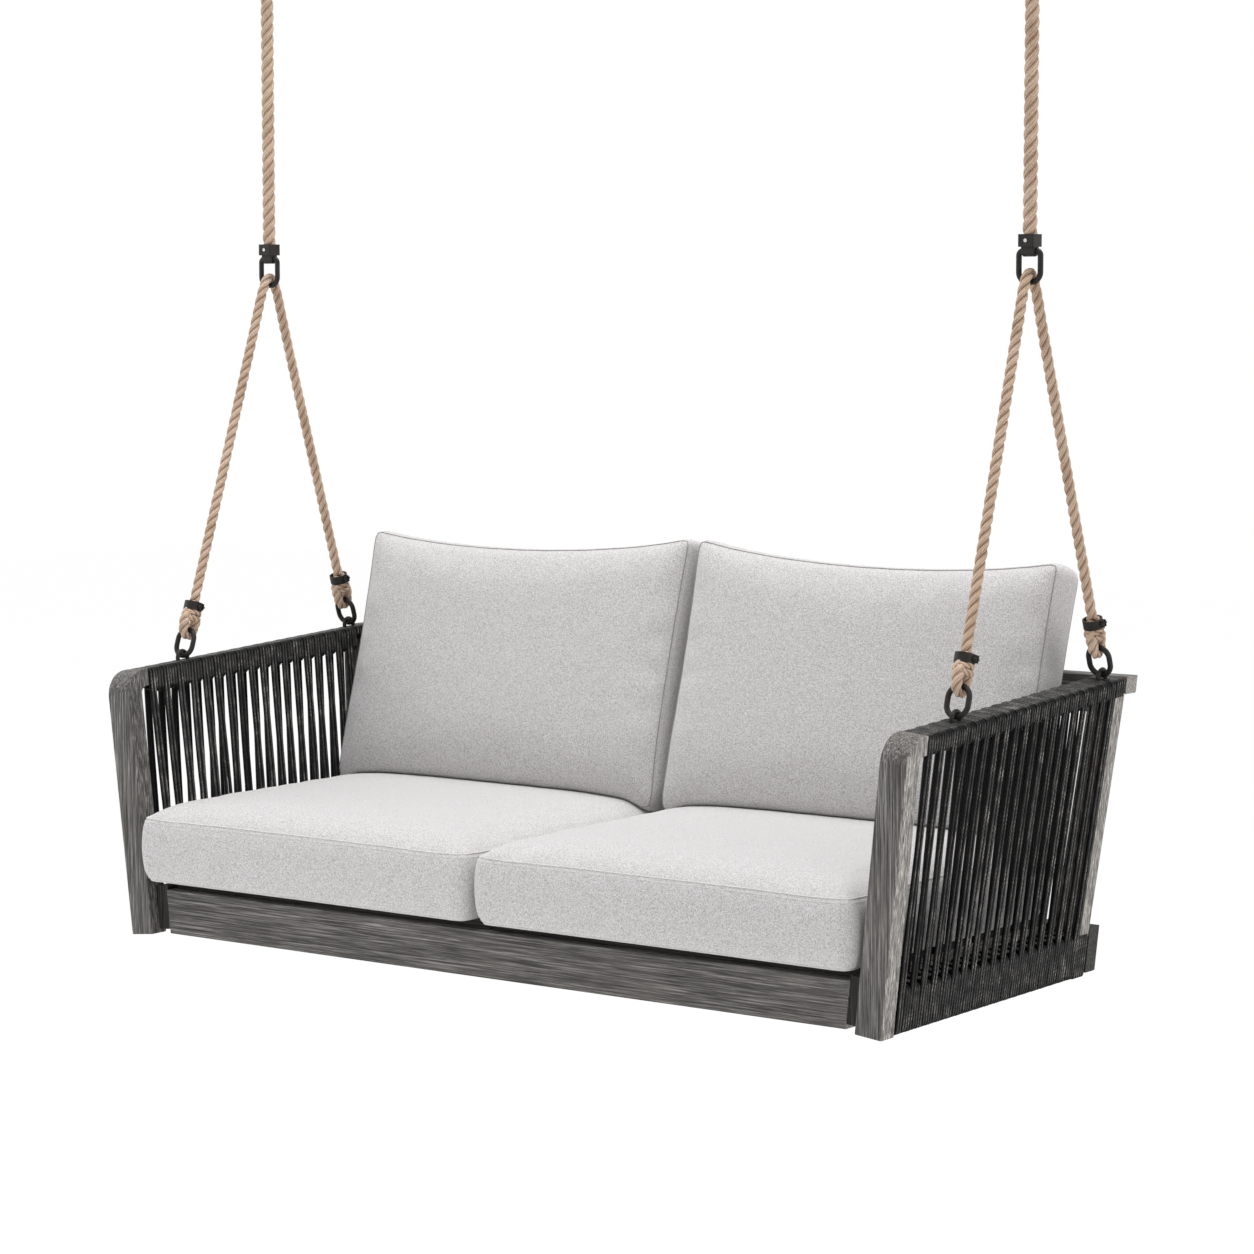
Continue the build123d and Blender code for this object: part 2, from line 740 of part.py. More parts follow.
# Seat slats, from the tie beam to the battens at the arms
slat_start = front_apron_front + slat_setback
slat_room = rear_apron_front - slat_rim - slat_start
slat_pitch = (slat_room + slat_gap) / slat_count
slat_length = slat_end - slat_rim
for side, hand in SIDES:
    with BuildPart() as slats:
        slat_middle = (side * (slat_end + slat_rim) / 2, slat_start + slat_room / 2)
        with Locations((*slat_middle, height(apron_high + slat_thickness / 2))):
            with GridLocations(0, slat_pitch, 1, slat_count):
                Box(slat_length, slat_pitch - slat_gap, slat_thickness)
    save(slats, f"seat_slats_{hand}")

# Doubled cords wound round the arm rails and the base rails
foot_step = (last_foot_u - first_foot_u) / (arm_strands - 1)
first_step = (front_ring_u - first_top_u) / front_ring_strand
top_step = (rear_ring_u - front_ring_u) / (arm_strands - 1 - front_ring_strand)
arm_feet = [first_foot_u + foot_step * strand for strand in range(arm_strands)]
arm_tops = [first_top_u + first_step * strand for strand in range(front_ring_strand)]
arm_tops += [front_ring_u + top_step * strand for strand in range(arm_strands - front_ring_strand)]
cord_reach = cord_clearance + cord / 2


def wind(plane, feet, tops, foot_low, top_high, reach):
    """Two parallel cords, each one unbroken tube, in the piece that is being built."""
    wires = []
    for twin in (-cord_twin / 2, cord_twin / 2):
        twin_feet = [foot + twin for foot in feet]
        twin_tops = [top + twin for top in tops]
        corners = winding_points(twin_feet, twin_tops, foot_low, top_high, reach)
        with BuildLine() as wire:
            quarter_turn_path([plane.from_local_coords(corner) for corner in corners], cord_bend)
        with BuildSketch(Plane(wire.line @ 0, z_dir=wire.line % 0)) as section:
            Circle(cord / 2)
        sweep(section.sketch, path=wire.line)
        wires.append(wire)
    return wires


for side, hand in SIDES:
    with BuildPart() as arm_winding:
        wires = wind(
            arm_plane(side, -post_width / 2),
            arm_feet,
            arm_tops,
            base_core_low - cord_reach,
            lambda u: core_top(u) + cord_reach,
            side * (core_width / 2 + cord_reach),
        )
    save(arm_winding, f"arm_winding_{hand}")
    print(f"arm winding {hand}: least gap {least_gap(wires):.2f}, length {sum(map(path_length, wires)):.0f}")

back_strand_outer = arm_inner_x(back_low_height) - back_strand_room
back_step = (back_strand_outer - back_strand_inner) / (back_strands - 1)
for side, hand in SIDES:
    places = [side * (back_strand_inner + back_step * strand) for strand in range(back_strands)]
    with BuildPart() as back_winding:
        wires = wind(
            back_plane(),
            places,
            places,
            -core_height / 2 - cord_reach,
            lambda x: back_length + core_height / 2 + cord_reach,
            back_core_depth / 2 + cord_reach,
        )
    save(back_winding, f"back_winding_{hand}")
    print(f"back winding {hand}: least gap {least_gap(wires):.2f}, length {sum(map(path_length, wires)):.0f}")

# Spacer turns of cord that cover the arm rails and the base rails between the strands
strand_half = cord_twin / 2 + cord / 2 + spacer_gap
staple_half = staple_span / 2 + staple_bar / 2 + spacer_gap
ring_strands = (front_ring_strand, arm_strands - 1)


def spacer(side, start, end, middle, core, wall):
    """One sleeve round a rail's core, in the piece that is being built. middle is its height up the arm."""
    foot = arm_plane(side, -post_width / 2).from_local_coords((start, middle, 0))
    with BuildSketch(Plane(foot, x_dir=arm_plane(side).z_dir, z_dir=(0, 1, 0))) as ring:
        Rectangle(core_width + 2 * wall, core + 2 * wall)
        Rectangle(core_width + 2 * spacer_gap, core + 2 * spacer_slack, mode=Mode.SUBTRACT)
    extrude(ring.sketch, amount=end - start)


def room(strand_room, leans):
    """Half width that a strand takes up along a rail, where its legs lean away by leans."""
    return strand_room + max(0.0, *leans)


outer_leans = [top - foot for foot, top in zip(arm_feet, arm_tops)]
inner_leans = [top - foot for foot, top in zip(arm_feet[1:], arm_tops)]
arm_share = (core_height + 2 * spacer_thickness + cord) / arm_core_top  # of a lean, at the sleeve's far edge
base_share = (base_core_high + base_spacer_thickness) / arm_core_top
arm_starts = [wrap_start + spacer_gap]
arm_ends = []
base_starts = [post_front + post_depth + spacer_gap]
base_ends = []
for strand in range(arm_strands):
    strand_room = staple_half if strand in ring_strands else strand_half
    at_top = [arm_share * lean for lean in (outer_leans[strand], *inner_leans[strand:strand + 1])]
    at_foot = [base_share * lean for lean in (outer_leans[strand], *inner_leans[max(0, strand - 1):strand])]
    arm_ends.append(arm_tops[strand] - room(strand_room, at_top))
    arm_starts.append(arm_tops[strand] + room(strand_room, [-lean for lean in at_top]))
    base_ends.append(arm_feet[strand] - room(strand_half, [-lean for lean in at_foot]))
    base_starts.append(arm_feet[strand] + room(strand_half, at_foot))

arm_turns = [(start, end) for start, end in zip(arm_starts, arm_ends) if end - start > spacer_least]
base_turns = [(start, end) for start, end in zip(base_starts, base_ends) if end - start > spacer_least]
base_core = base_core_high - base_core_low
for side, hand in SIDES:
    with BuildPart() as arm_spacers:
        for start, end in arm_turns:
            middle = core_top((start + end) / 2) - core_height / 2
            spacer(side, start, end, middle, core_height, spacer_thickness)
    save(arm_spacers, f"arm_rail_wraps_{hand}")

    with BuildPart() as base_spacers:
        for start, end in base_turns:
            spacer(side, start, end, base_core_low + base_core / 2, base_core, base_spacer_thickness)
    save(base_spacers, f"base_rail_wraps_{hand}")


def bowed_outline(width, length, bows, corner):
    """A rectangle with rounded corners and sides that pull in: bows are bottom, right, top, left."""
    half_w = width / 2
    half_l = length / 2
    low, right, high, left = bows
    with BuildLine() as sides:
        ThreePointArc((-half_w, -half_l), (0, -half_l + low), (half_w, -half_l))
        ThreePointArc((half_w, -half_l), (half_w - right, 0), (half_w, half_l))
        ThreePointArc((half_w, half_l), (0, half_l - high), (-half_w, half_l))
        ThreePointArc((-half_w, half_l), (-half_w + left, 0), (-half_w, -half_l))
    face = make_face(sides.edges())
    fillet(face.vertices(), corner)


# Cushions
for side, hand in SIDES:
    middle_x = side * (cushion_gap + seat_cushion_width) / 2
    middle_y = seat_cushion_front + seat_cushion_depth / 2
    bottom = height(apron_high + slat_thickness + cushion_rest)
    crown = seat_cushion_crown
    seat_layers = [(share * seat_cushion_edge, inset) for share, inset in seat_side_layers]
    seat_layers += [(seat_cushion_edge + share * crown, inset) for share, inset in seat_crown_layers]
    with BuildPart() as seat_cushion:
        for level, inset in seat_layers:
            with BuildSketch(Plane((middle_x, middle_y, bottom + level))):
                bowed_outline(
                    seat_cushion_width - 2 * inset,
                    seat_cushion_depth - 2 * inset,
                    seat_cushion_bows,
                    seat_cushion_corner + seat_corner_growth * inset,
                )
        loft(ruled=True)
    save(seat_cushion, f"seat_cushion_{hand}")

    lean = radians(back_cushion_lean)
    face_up = Vector(0, sin(lean), cos(lean))
    middle_x = side * (cushion_gap + back_cushion_width) / 2
    foot = Vector(middle_x, back_cushion_foot_y, height(back_cushion_foot))
    face_middle = foot + face_up * (back_cushion_height / 2)
    front_face = Plane(face_middle, x_dir=(1, 0, 0), z_dir=(0, -cos(lean), sin(lean)))
    edge = back_cushion_edge
    front_layers = [(share * back_cushion_crown, inset) for share, inset in back_cushion_layers]
    back_layers = [(-edge - share * back_cushion_rear_crown, inset) for share, inset in back_cushion_layers]
    with BuildPart() as back_cushion:
        for level, inset in (*front_layers, (-edge / 2, 0.0), *reversed(back_layers)):
            with BuildSketch(front_face.offset(level)):
                bowed_outline(
                    back_cushion_width - 2 * inset,
                    back_cushion_height - 2 * inset,
                    back_cushion_bows,
                    back_cushion_corner + back_corner_growth * inset,
                )
        loft(ruled=True)
    save(back_cushion, f"back_cushion_{hand}")
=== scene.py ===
"""Looks of a two-seat porch swing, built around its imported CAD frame. Metres, +X right, +Y back, +Z up."""
import math

import bmesh
import bpy
import numpy as np
from mathutils import Matrix, Vector
from mathutils.bvhtree import BVHTree


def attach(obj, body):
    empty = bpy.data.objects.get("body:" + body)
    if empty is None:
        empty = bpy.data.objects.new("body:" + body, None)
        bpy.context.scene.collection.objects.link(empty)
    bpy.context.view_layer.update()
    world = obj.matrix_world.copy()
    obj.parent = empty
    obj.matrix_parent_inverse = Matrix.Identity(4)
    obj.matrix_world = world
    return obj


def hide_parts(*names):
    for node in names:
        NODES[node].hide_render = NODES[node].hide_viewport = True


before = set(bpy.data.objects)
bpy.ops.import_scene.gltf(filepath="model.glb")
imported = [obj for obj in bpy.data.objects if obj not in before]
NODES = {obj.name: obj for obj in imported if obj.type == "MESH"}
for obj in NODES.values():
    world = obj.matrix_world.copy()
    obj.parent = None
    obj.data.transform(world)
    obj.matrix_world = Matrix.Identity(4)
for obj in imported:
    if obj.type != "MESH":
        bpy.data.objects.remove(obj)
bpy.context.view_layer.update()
SIDES = ((-1, "left"), (1, "right"))

# Sizes in metres, most of them the construction's
FOOT_Z = -1.565
SPLAY = math.radians(6.15)
SPLAY_COS, SPLAY_SIN = math.cos(SPLAY), math.sin(SPLAY)
ARM_FOOT_X = 0.6848
POST_WIDTH = 0.043
CORE_WIDTH = 0.033
CORE_HEIGHT = 0.016
WRAP_START = -0.308
ARM_CORE_TOP = 0.405
ARM_RISE = math.tan(math.radians(3.2))
BASE_LOW, BASE_HIGH = 0.008, 0.062
CORD = 0.0058
CORD_REACH = 0.00375
CORD_TWIN = 0.0065
STRANDS = 19
RING_STRAND = 3
LOOSE_STRANDS = 8
FRONT_RING, REAR_RING = -0.205, 0.203
FIRST_FOOT, LAST_FOOT = -0.3095, 0.166
FIRST_TOP = -0.2995
FIRST_STEP = (FRONT_RING - FIRST_TOP) / RING_STRAND
TOP_STEP = (REAR_RING - FRONT_RING) / (STRANDS - 1 - RING_STRAND)
FOOT_STEP = (LAST_FOOT - FIRST_FOOT) / (STRANDS - 1)
ARM_TOPS = [FIRST_TOP + FIRST_STEP * i for i in range(RING_STRAND)]
ARM_TOPS += [FRONT_RING + TOP_STEP * i for i in range(STRANDS - RING_STRAND)]
ARM_FEET = [FIRST_FOOT + FOOT_STEP * i for i in range(STRANDS)]
BACK_LOW = Vector((0, 0.202, FOOT_Z + 0.155))
BACK_HIGH = Vector((0, 0.2515, FOOT_Z + 0.393))
BACK_STRANDS = 22
BACK_INNER, BACK_OUTER = 0.034, 0.620
ROPE_X = 0.700
UPPER_ROPE, BRIDLE_ROPE = 0.0206, 0.0160
RING_HEIGHT = 0.043
KNOT_HIGH = 0.031
COLLAR_HEIGHT, COLLAR_RADIUS = 0.0135, 0.0148
SEAT_SIZE = (0.648, 0.550, 0.100)  # the last is the height of the upper seam
SEAT_FRONT, SEAT_LOW = -0.378, 0.0896
BACK_SIZE = (0.646, 0.414, 0.070)
BACK_LEAN = math.radians(15.2)
BACK_FOOT = (0.090, 0.2190)
CUSHION_GAP = 0.006


# Materials
def srgb(r, g, b):
    """Linear colour of an 8-bit one."""
    return tuple(((c / 255 + 0.055) / 1.055) ** 2.4 if c > 10 else c / 255 / 12.92 for c in (r, g, b)) + (1,)


def grey(value):
    return (value, value, value, 1)


class Graph:
    """A node tree under construction: add() makes a node and joins or sets its inputs."""

    kind = "GeometryNode"

    def __init__(self, tree):
        self.tree = tree

    def add(self, kind, inputs=None, **settings):
        prefix = "" if kind.startswith(("ShaderNode", "FunctionNode")) else self.kind
        node = self.tree.nodes.new(prefix + kind)
        for key, value in settings.items():
            setattr(node, key, value)
        for key, value in (inputs or {}).items():
            if isinstance(value, bpy.types.NodeSocket):
                self.tree.links.new(value, node.inputs[key])
            else:
                node.inputs[key].default_value = value
        return node


class Shader(Graph):
    """A material under construction."""

    kind = "ShaderNode"

    def __init__(self, name, roughness=0.8, specular=0.3, metallic=0.0, sheen=0.0):
        self.material = bpy.data.materials.new(name)
        self.material.use_nodes = True
        super().__init__(self.material.node_tree)
        self.shader = self.tree.nodes["Principled BSDF"]
        values = {"Roughness": roughness, "Specular IOR Level": specular, "Metallic": metallic}
        if sheen:
            values |= {"Sheen Weight": sheen, "Sheen Roughness": 0.5}
        for key, value in values.items():
            self.shader.inputs[key].default_value = value

    def place(self, scale):
        """Object coordinates stretched by scale."""
        return self.add("Mapping", {"Vector": self.add("TexCoord").outputs["Object"], "Scale": scale}).outputs[0]

    def noise(self, vector, detail=4.0, roughness=0.55, distortion=0.0):
        values = {"Vector": vector, "Scale": 1.0, "Detail": detail, "Roughness": roughness}
        return self.add("TexNoise", {**values, "Distortion": distortion}).outputs["Fac"]

    def specks(self, size, *settings):
        return self.noise(self.place((size, size, size)), *settings)

    def math(self, operation, a, b=0.0, c=0.0):
        return self.add("Math", {0: a, 1: b, 2: c}, operation=operation).outputs[0]

    def weighed(self, *pairs):
        """The sum of values, each times its weight."""
        total = self.math("MULTIPLY", *pairs[-1])
        for value, weight in reversed(pairs[:-1]):
            total = self.math("MULTIPLY_ADD", value, weight, total)
        return total

    def fibres(self, uv, along, across):
        """Streaks along a strand whose UV map runs along and round it."""
        parts = {i: self.math("MULTIPLY", uv.outputs[i], size) for i, size in enumerate((along, across))}
        return self.noise(self.add("CombineXYZ", parts).outputs[0], 4.0, 0.65)

    def ramp(self, factor, *stops):
        node = self.add("ValToRGB", {"Fac": factor})
        elements = node.color_ramp.elements
        for element, (position, colour) in ((elements[0], stops[0]), (elements[1], stops[-1])):
            element.position = position
            element.color = colour
        for position, colour in stops[1:-1]:
            elements.new(position).color = colour
        return node.outputs[0]

    def mix(self, factor, a, b, blend="MIX"):
        return self.add("Mix", {0: factor, 6: a, 7: b}, data_type="RGBA", blend_type=blend).outputs[2]

    def finish(self, colour=None, bump=None, strength=0.3, distance=0.001, roughness=None):
        for name, value in (("Base Color", colour), ("Roughness", roughness)):
            if value is not None:
                self.tree.links.new(value, self.shader.inputs[name])
        if bump is not None:
            node = self.add("Bump", {"Height": bump, "Strength": strength, "Distance": distance})
            self.tree.links.new(node.outputs[0], self.shader.inputs["Normal"])
        return self.material


def wood_material(name, axis, light=1.0):
    """Weathered grey wood with its grain along one axis, and painted light on the faces turned outward."""
    s = Shader(name, roughness=0.78, specular=0.22)

    def streaks(across, along, *settings):
        scale = [across] * 3
        scale[axis] = along
        return s.noise(s.place(scale), *settings)

    def tone(r, g, b):
        return srgb(*(min(255, c * light) for c in (r, g, b)))

    board = streaks(44.0, 2.0, 3.0, 0.5, 0.3)
    grain = streaks(460.0, 8.0, 5.0, 0.72, 0.25)
    fibre = streaks(900.0, 24.0, 3.0, 0.6)
    crack = streaks(380.0, 7.0, 2.0, 0.5, 0.2)
    patch = s.specks(11, 3.0, 0.6)
    colour = s.ramp(grain, (0.33, tone(46, 45, 44)), (0.5, tone(98, 96, 94)), (0.67, tone(166, 163, 160)))
    fine = s.ramp(fibre, (0.36, grey(0.6)), (0.64, (1.2, 1.2, 1.19, 1)))
    colour = s.mix(0.7, colour, fine, "MULTIPLY")
    broad = s.ramp(board, (0.35, (0.82, 0.82, 0.81, 1)), (0.65, (1.12, 1.12, 1.11, 1)))
    colour = s.mix(0.8, colour, broad, "MULTIPLY")
    worn = s.math("MULTIPLY", s.ramp(patch, (0.45, grey(0)), (0.7, grey(1))), 0.2)
    colour = s.mix(worn, colour, tone(124, 119, 114))
    dark = s.ramp(crack, (0.28, grey(1)), (0.36, grey(0)))
    colour = s.mix(s.math("MULTIPLY", dark, 0.65), colour, tone(36, 35, 34))
    # Painted light: faces turned outward from the middle are made up to 2.5 times lighter, as if lit from the sides.
    sideways = s.add("SeparateXYZ", {0: s.add("NewGeometry").outputs["True Normal"]}).outputs[0]
    place = s.add("SeparateXYZ", {0: s.add("TexCoord").outputs["Object"]}).outputs[0]
    outward = s.math("MAXIMUM", s.math("MULTIPLY", sideways, s.math("SIGN", place)), 0.0)
    painted_side_light = s.ramp(outward, (0.0, grey(1)), (1.0, (2.5, 2.48, 2.46, 1)))
    colour = s.mix(1.0, colour, painted_side_light, "MULTIPLY")
    height = s.weighed((fibre, 0.5), (grain, 0.9))
    height = s.math("SUBTRACT", height, s.math("MULTIPLY", dark, 0.8))
    rough = s.math("MULTIPLY_ADD", fibre, 0.25, 0.62)
    return s.finish(colour, height, 0.6, 0.0014, rough)


def braid_material(name, dark, middle, light, turns=5.0, pitch=0.0062):
    """Braided cord. The UV map's first number runs along the cord in metres, the second round it. Shade is painted
    on the sides of each cord and highlight on its crown, by the groove attribute, and its lightest streaks are
    painted highlights.
    """
    s = Shader(name, roughness=0.5, specular=0.16)
    uv = s.add("SeparateXYZ", {"Vector": s.add("UVMap").outputs[0]})
    along = s.math("MULTIPLY", uv.outputs[0], math.tau / pitch)
    round_ = s.math("MULTIPLY", uv.outputs[1], math.tau * turns)
    one = s.math("SINE", s.math("ADD", along, round_))
    two = s.math("SINE", s.math("SUBTRACT", along, round_))
    plait = s.math("MAXIMUM", one, two)
    wear = s.specks(60, 3.0)
    filament_and_glint = s.fibres(uv, 30.0, 9.0)
    mixed = s.weighed((plait, 0.08), (wear, 0.35), (filament_and_glint, 0.75))
    # The lightest stop is a painted highlight: streaks along the cord in pale grey.
    colour = s.ramp(mixed, (0.40, dark), (0.62, middle), (0.84, light))
    # Painted shade and highlight: toward the rail each cord is darkened down to 0.15, and on its outermost crown lit
    # up to about six times.
    crown = s.add("Attribute", attribute_name="groove").outputs["Fac"]
    painted_shade_and_highlight = s.ramp(crown, (0.6, grey(0.15)), (0.85, grey(1.1)), (1.0, (6.2, 6.1, 6.0, 1)))
    colour = s.mix(1.0, colour, painted_shade_and_highlight, "MULTIPLY")
    return s.finish(colour, s.math("MULTIPLY_ADD", filament_and_glint, 1.2, plait), 0.55, 0.0006)


def rope_material(name):
    """Laid rope of pale tan yarns. The UV map runs along and round each strand. Shade is painted into the grooves
    between the strands.
    """
    s = Shader(name, roughness=0.85, specular=0.2, sheen=0.25)
    uv = s.add("SeparateXYZ", {"Vector": s.add("UVMap").outputs[0]})
    yarn = s.math("SINE", s.math("ADD", s.math("MULTIPLY", uv.outputs[0], math.tau / 0.012),
                                 s.math("MULTIPLY", uv.outputs[1], -math.tau * 9)))
    hair = s.fibres(uv, 160.0, 26.0)
    patch = s.specks(22, 3.0)
    mixed = s.weighed((yarn, 0.09), (hair, 0.55), (patch, 0.45))
    colour = s.ramp(mixed, (0.26, srgb(158, 129, 105)), (0.5, srgb(205, 176, 151)), (0.76, srgb(236, 215, 194)))
    # Painted shade: the parts of each strand that lie near the rope's middle line are darkened toward brown.
    away = s.add("Attribute", attribute_name="groove").outputs["Fac"]
    groove = s.ramp(away, (0.66, grey(1)), (0.96, grey(0)))
    colour = s.mix(s.math("MULTIPLY", groove, 0.85), colour, srgb(92, 66, 48))
    return s.finish(colour, s.weighed((hair, 0.8), (yarn, 0.5)), 0.55, 0.0008)


def metal_material(name, dark, light, roughness, metallic):
    """Powder-coated or plated metal with a fine texture and rubbed spots."""
    s = Shader(name, roughness=roughness, specular=0.22, metallic=metallic)
    grit = s.specks(1400, 2.0)
    rub = s.specks(85, 4.0, 0.6)
    colour = s.ramp(s.weighed((grit, 0.3), (rub, 0.7)), (0.3, dark), (0.75, light))
    rough = s.math("MULTIPLY_ADD", rub, 0.3, roughness - 0.15)
    return s.finish(colour, grit, 0.25, 0.0003, rough)


def cloth_material(name):
    """Heathered outdoor cloth in a plain weave, mapped on the three axes so that it needs no UVs."""
    s = Shader(name, roughness=0.92, specular=0.12, sheen=0.35)
    coordinates = s.add("TexCoord").outputs["Object"]
    split = s.add("SeparateXYZ", {"Vector": coordinates})
    normal = s.add("SeparateXYZ", {"Vector": s.add("NewGeometry").outputs["True Normal"]})
    waves = [s.math("SINE", s.math("MULTIPLY", split.outputs[i], math.tau / 0.0021)) for i in range(3)]
    weight = [s.math("ABSOLUTE", normal.outputs[i]) for i in range(3)]
    pairs = [s.math("MULTIPLY", waves[(i + 1) % 3], waves[(i + 2) % 3]) for i in range(3)]
    weave = s.math("MULTIPLY", pairs[0], weight[0])
    for i in (1, 2):
        weave = s.math("MULTIPLY_ADD", pairs[i], weight[i], weave)
    heather = s.specks(640, 3.0, 0.75)
    slub = s.noise(s.place((520, 1400, 520)), 2.0, 0.6)
    broad = s.specks(9, 3.0, 0.5)
    mixed = s.weighed((weave, 0.04), (heather, 0.6), (slub, 0.4))
    colour = s.ramp(mixed, (0.40, srgb(156, 153, 153)), (0.5, srgb(205, 203, 203)), (0.60, srgb(231, 229, 229)))
    colour = s.mix(s.math("MULTIPLY", broad, 0.14), colour, srgb(198, 195, 194))
    height = s.weighed((heather, 0.6), (weave, 0.4))
    return s.finish(colour, height, 0.3, 0.0007)


WOOD_X = wood_material("weathered_wood_x", 0)
WOOD_Y = wood_material("weathered_wood_y", 1)
WOOD_Z = wood_material("weathered_wood_z", 2)
# Darker wood. On the seat slats it is painted shade in the slot under the cushions; the rear apron just gets the
# darker tone.
DARK_BOARD = wood_material("charred_board", 0, 0.42)
# Painted shade: the corner blocks, set back between post and apron, get wood at half the lightness.
DARK_POST = wood_material("charred_post", 2, 0.5)
CORE_WOOD = wood_material("core_wood", 1, 0.3)
# The black cord's light tone is a painted highlight.
BLACK_CORD = braid_material("black_cord", srgb(11, 11, 12), srgb(31, 31, 31), srgb(96, 94, 91))
ROPE = rope_material("hanging_rope")
DARK_METAL = metal_material("dark_metal", srgb(26, 25, 24), srgb(54, 51, 48), 0.45, 0.1)
STEEL = metal_material("steel", srgb(150, 150, 152), srgb(214, 214, 214), 0.34, 1.0)
CLOTH = cloth_material("cushion_cloth")
# The pale thread of the stitches; on the seat seams it also stands as a painted highlight along their ridge.
THREAD = metal_material("seam_thread", srgb(206, 204, 203), srgb(240, 238, 237), 0.8, 0.0)
# Painted shade: the back cushions' seams are drawn in a darker grey to stand for the shade in their groove.
SHADED_BACK_SEAM = metal_material("deep_seam", srgb(142, 140, 139), srgb(178, 176, 175), 0.8, 0.0)

for material, nodes in (
    (WOOD_X, "front_apron back_top_rail"),
    (WOOD_Y, "seat_batten seat_tie_beam"),
    (WOOD_Z, "front_post rear_post back_centre_post"),
    (DARK_POST, "corner_block"),
    (DARK_BOARD, "seat_slats rear_apron"),
    (CORE_WOOD, "arm_rail base_rail back_lower_rail back_upper_rail"),
    (DARK_METAL, "ceiling_plate ceiling_link rope_clamp_top rope_clamp_bottom bridle_link"),
    (DARK_METAL, "rope_collars arm_rings ring_staples"),
    (STEEL, "clamp_rivets frame_screws"),
):
    for name in [node + end for node in nodes.split() for end in ("", "_left", "_right")]:
        if name in NODES:
            NODES[name].data.materials.clear()
            NODES[name].data.materials.append(material)


# Objects and meshes
def add_object(name, data):
    thing = bpy.data.objects.new(name, data)
    bpy.context.scene.collection.objects.link(thing)
    return thing


def final_mesh(thing):
    """A new mesh of an object with its modifiers applied."""
    bpy.context.view_layer.update()
    return bpy.data.meshes.new_from_object(thing.evaluated_get(bpy.context.evaluated_depsgraph_get()))


def tie(piece, body, node=None):
    """Tie a piece to its body, and hide the node that it stands for, if any."""
    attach(piece, body)
    if node:
        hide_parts(node)


def mark(mesh, groove):
    """Note for each vertex how far it stands out of the groove beside it, from 0 to 1. The cord material paints
    shade and highlight by it, the rope material shade.
    """
    layer = mesh.attributes.new("groove", "FLOAT", "POINT")
    layer.data.foreach_set("value", np.asarray(groove, dtype=np.float32))


def new_object(name, material, vertices, faces, uvs=None, groove=None):
    """A smooth mesh object at the origin. uvs has one pair for each face corner, groove a number for each vertex."""
    mesh = bpy.data.meshes.new(name)
    mesh.from_pydata([tuple(v) for v in vertices], [], faces)
    if uvs is not None:
        layer = mesh.uv_layers.new(name="UVMap")
        layer.data.foreach_set("uv", np.asarray(uvs, dtype=np.float32).ravel())
    if groove is not None:
        mark(mesh, groove)
    mesh.shade_smooth()
    mesh.materials.append(material)
    return add_object(name, mesh)


def joined(parts):
    """One set of vertices, faces and what else the parts have, such as UVs, from several."""
    vertices, faces, *rest = [[] for _ in parts[0]]
    for more_vertices, more_faces, *more in parts:
        offset = len(vertices)
        vertices += list(more_vertices)
        faces += [tuple(i + offset for i in face) for face in more_faces]
        for values, more_values in zip(rest, more):
            values += list(more_values)
    return vertices, faces, *rest


def distances(points):
    """How far each point lies along its line."""
    return np.concatenate(([0.0], np.cumsum(np.linalg.norm(np.diff(points, axis=0), axis=1))))


def path_frames(points, closed=False):
    """Tangents and a pair of normals that turn as little as possible along a path."""
    points = np.asarray(points, dtype=float)
    if closed:
        tangents = np.roll(points, -1, 0) - np.roll(points, 1, 0)
    else:
        tangents = np.gradient(points, axis=0)
    tangents /= np.linalg.norm(tangents, axis=1)[:, None]
    first = np.cross(tangents[0], (0.31, 0.2, 0.93))
    normals = [first / np.linalg.norm(first)]
    for tangent in tangents[1:]:
        normal = normals[-1] - tangent * np.dot(normals[-1], tangent)
        normals.append(normal / np.linalg.norm(normal))
    normals = np.array(normals)
    return tangents, normals, np.cross(tangents, normals)


def tube(points, radius, sides=8, closed=False):
    """A tube along points, with UVs that run along it in metres and once round it."""
    points = np.asarray(points, dtype=float)
    tangents, normals, others = path_frames(points, closed)
    count = len(points)
    angles = np.arange(sides) * math.tau / sides
    radii = np.broadcast_to(radius, (count,))
    ring = normals[:, None, :] * np.cos(angles)[None, :, None]
    ring = ring + others[:, None, :] * np.sin(angles)[None, :, None]
    vertices = (points[:, None, :] + ring * radii[:, None, None]).reshape(-1, 3)
    along = distances(points)
    faces, uvs = [], []
    for i in range(count if closed else count - 1):
        j = (i + 1) % count
        far = along[j] if j else along[-1] + np.linalg.norm(points[0] - points[-1])
        for k in range(sides):
            n = (k + 1) % sides
            faces.append((i * sides + k, i * sides + n, j * sides + n, j * sides + k))
            uvs += [(along[i], k / sides), (along[i], (k + 1) / sides), (far, (k + 1) / sides), (far, k / sides)]
    if not closed:
        for start, order in ((0, -1), ((count - 1) * sides, 1)):
            cap = [start + k for k in range(sides)][::order]
            faces.append(tuple(cap))
            uvs += [(0.0, k / sides) for k in range(sides)]
    return vertices, faces, uvs


def spline_points(name, points, resolution=12):
    """Points along a smooth NURBS curve whose control points are given."""
    curve = bpy.data.curves.new(name, "CURVE")
    curve.dimensions = "3D"
    spline = curve.splines.new("NURBS")
    spline.points.add(len(points) - 1)
    for point, place in zip(spline.points, points):
        point.co = (*place, 1.0)
    spline.order_u = 3
    spline.use_endpoint_u = True
    curve.resolution_u = resolution
    line = add_object(name, curve)
    mesh = final_mesh(line)
    found = np.array([v.co[:] for v in mesh.vertices])
    bpy.data.objects.remove(line)
    bpy.data.curves.remove(curve)
    bpy.data.meshes.remove(mesh)
    return found


def evenly(points, step):
    """The same line with points about a step apart."""
    along = distances(points)
    places = np.linspace(0, along[-1], max(4, int(along[-1] / step)))
    return np.stack([np.interp(places, along, points[:, axis]) for axis in range(3)], axis=1)


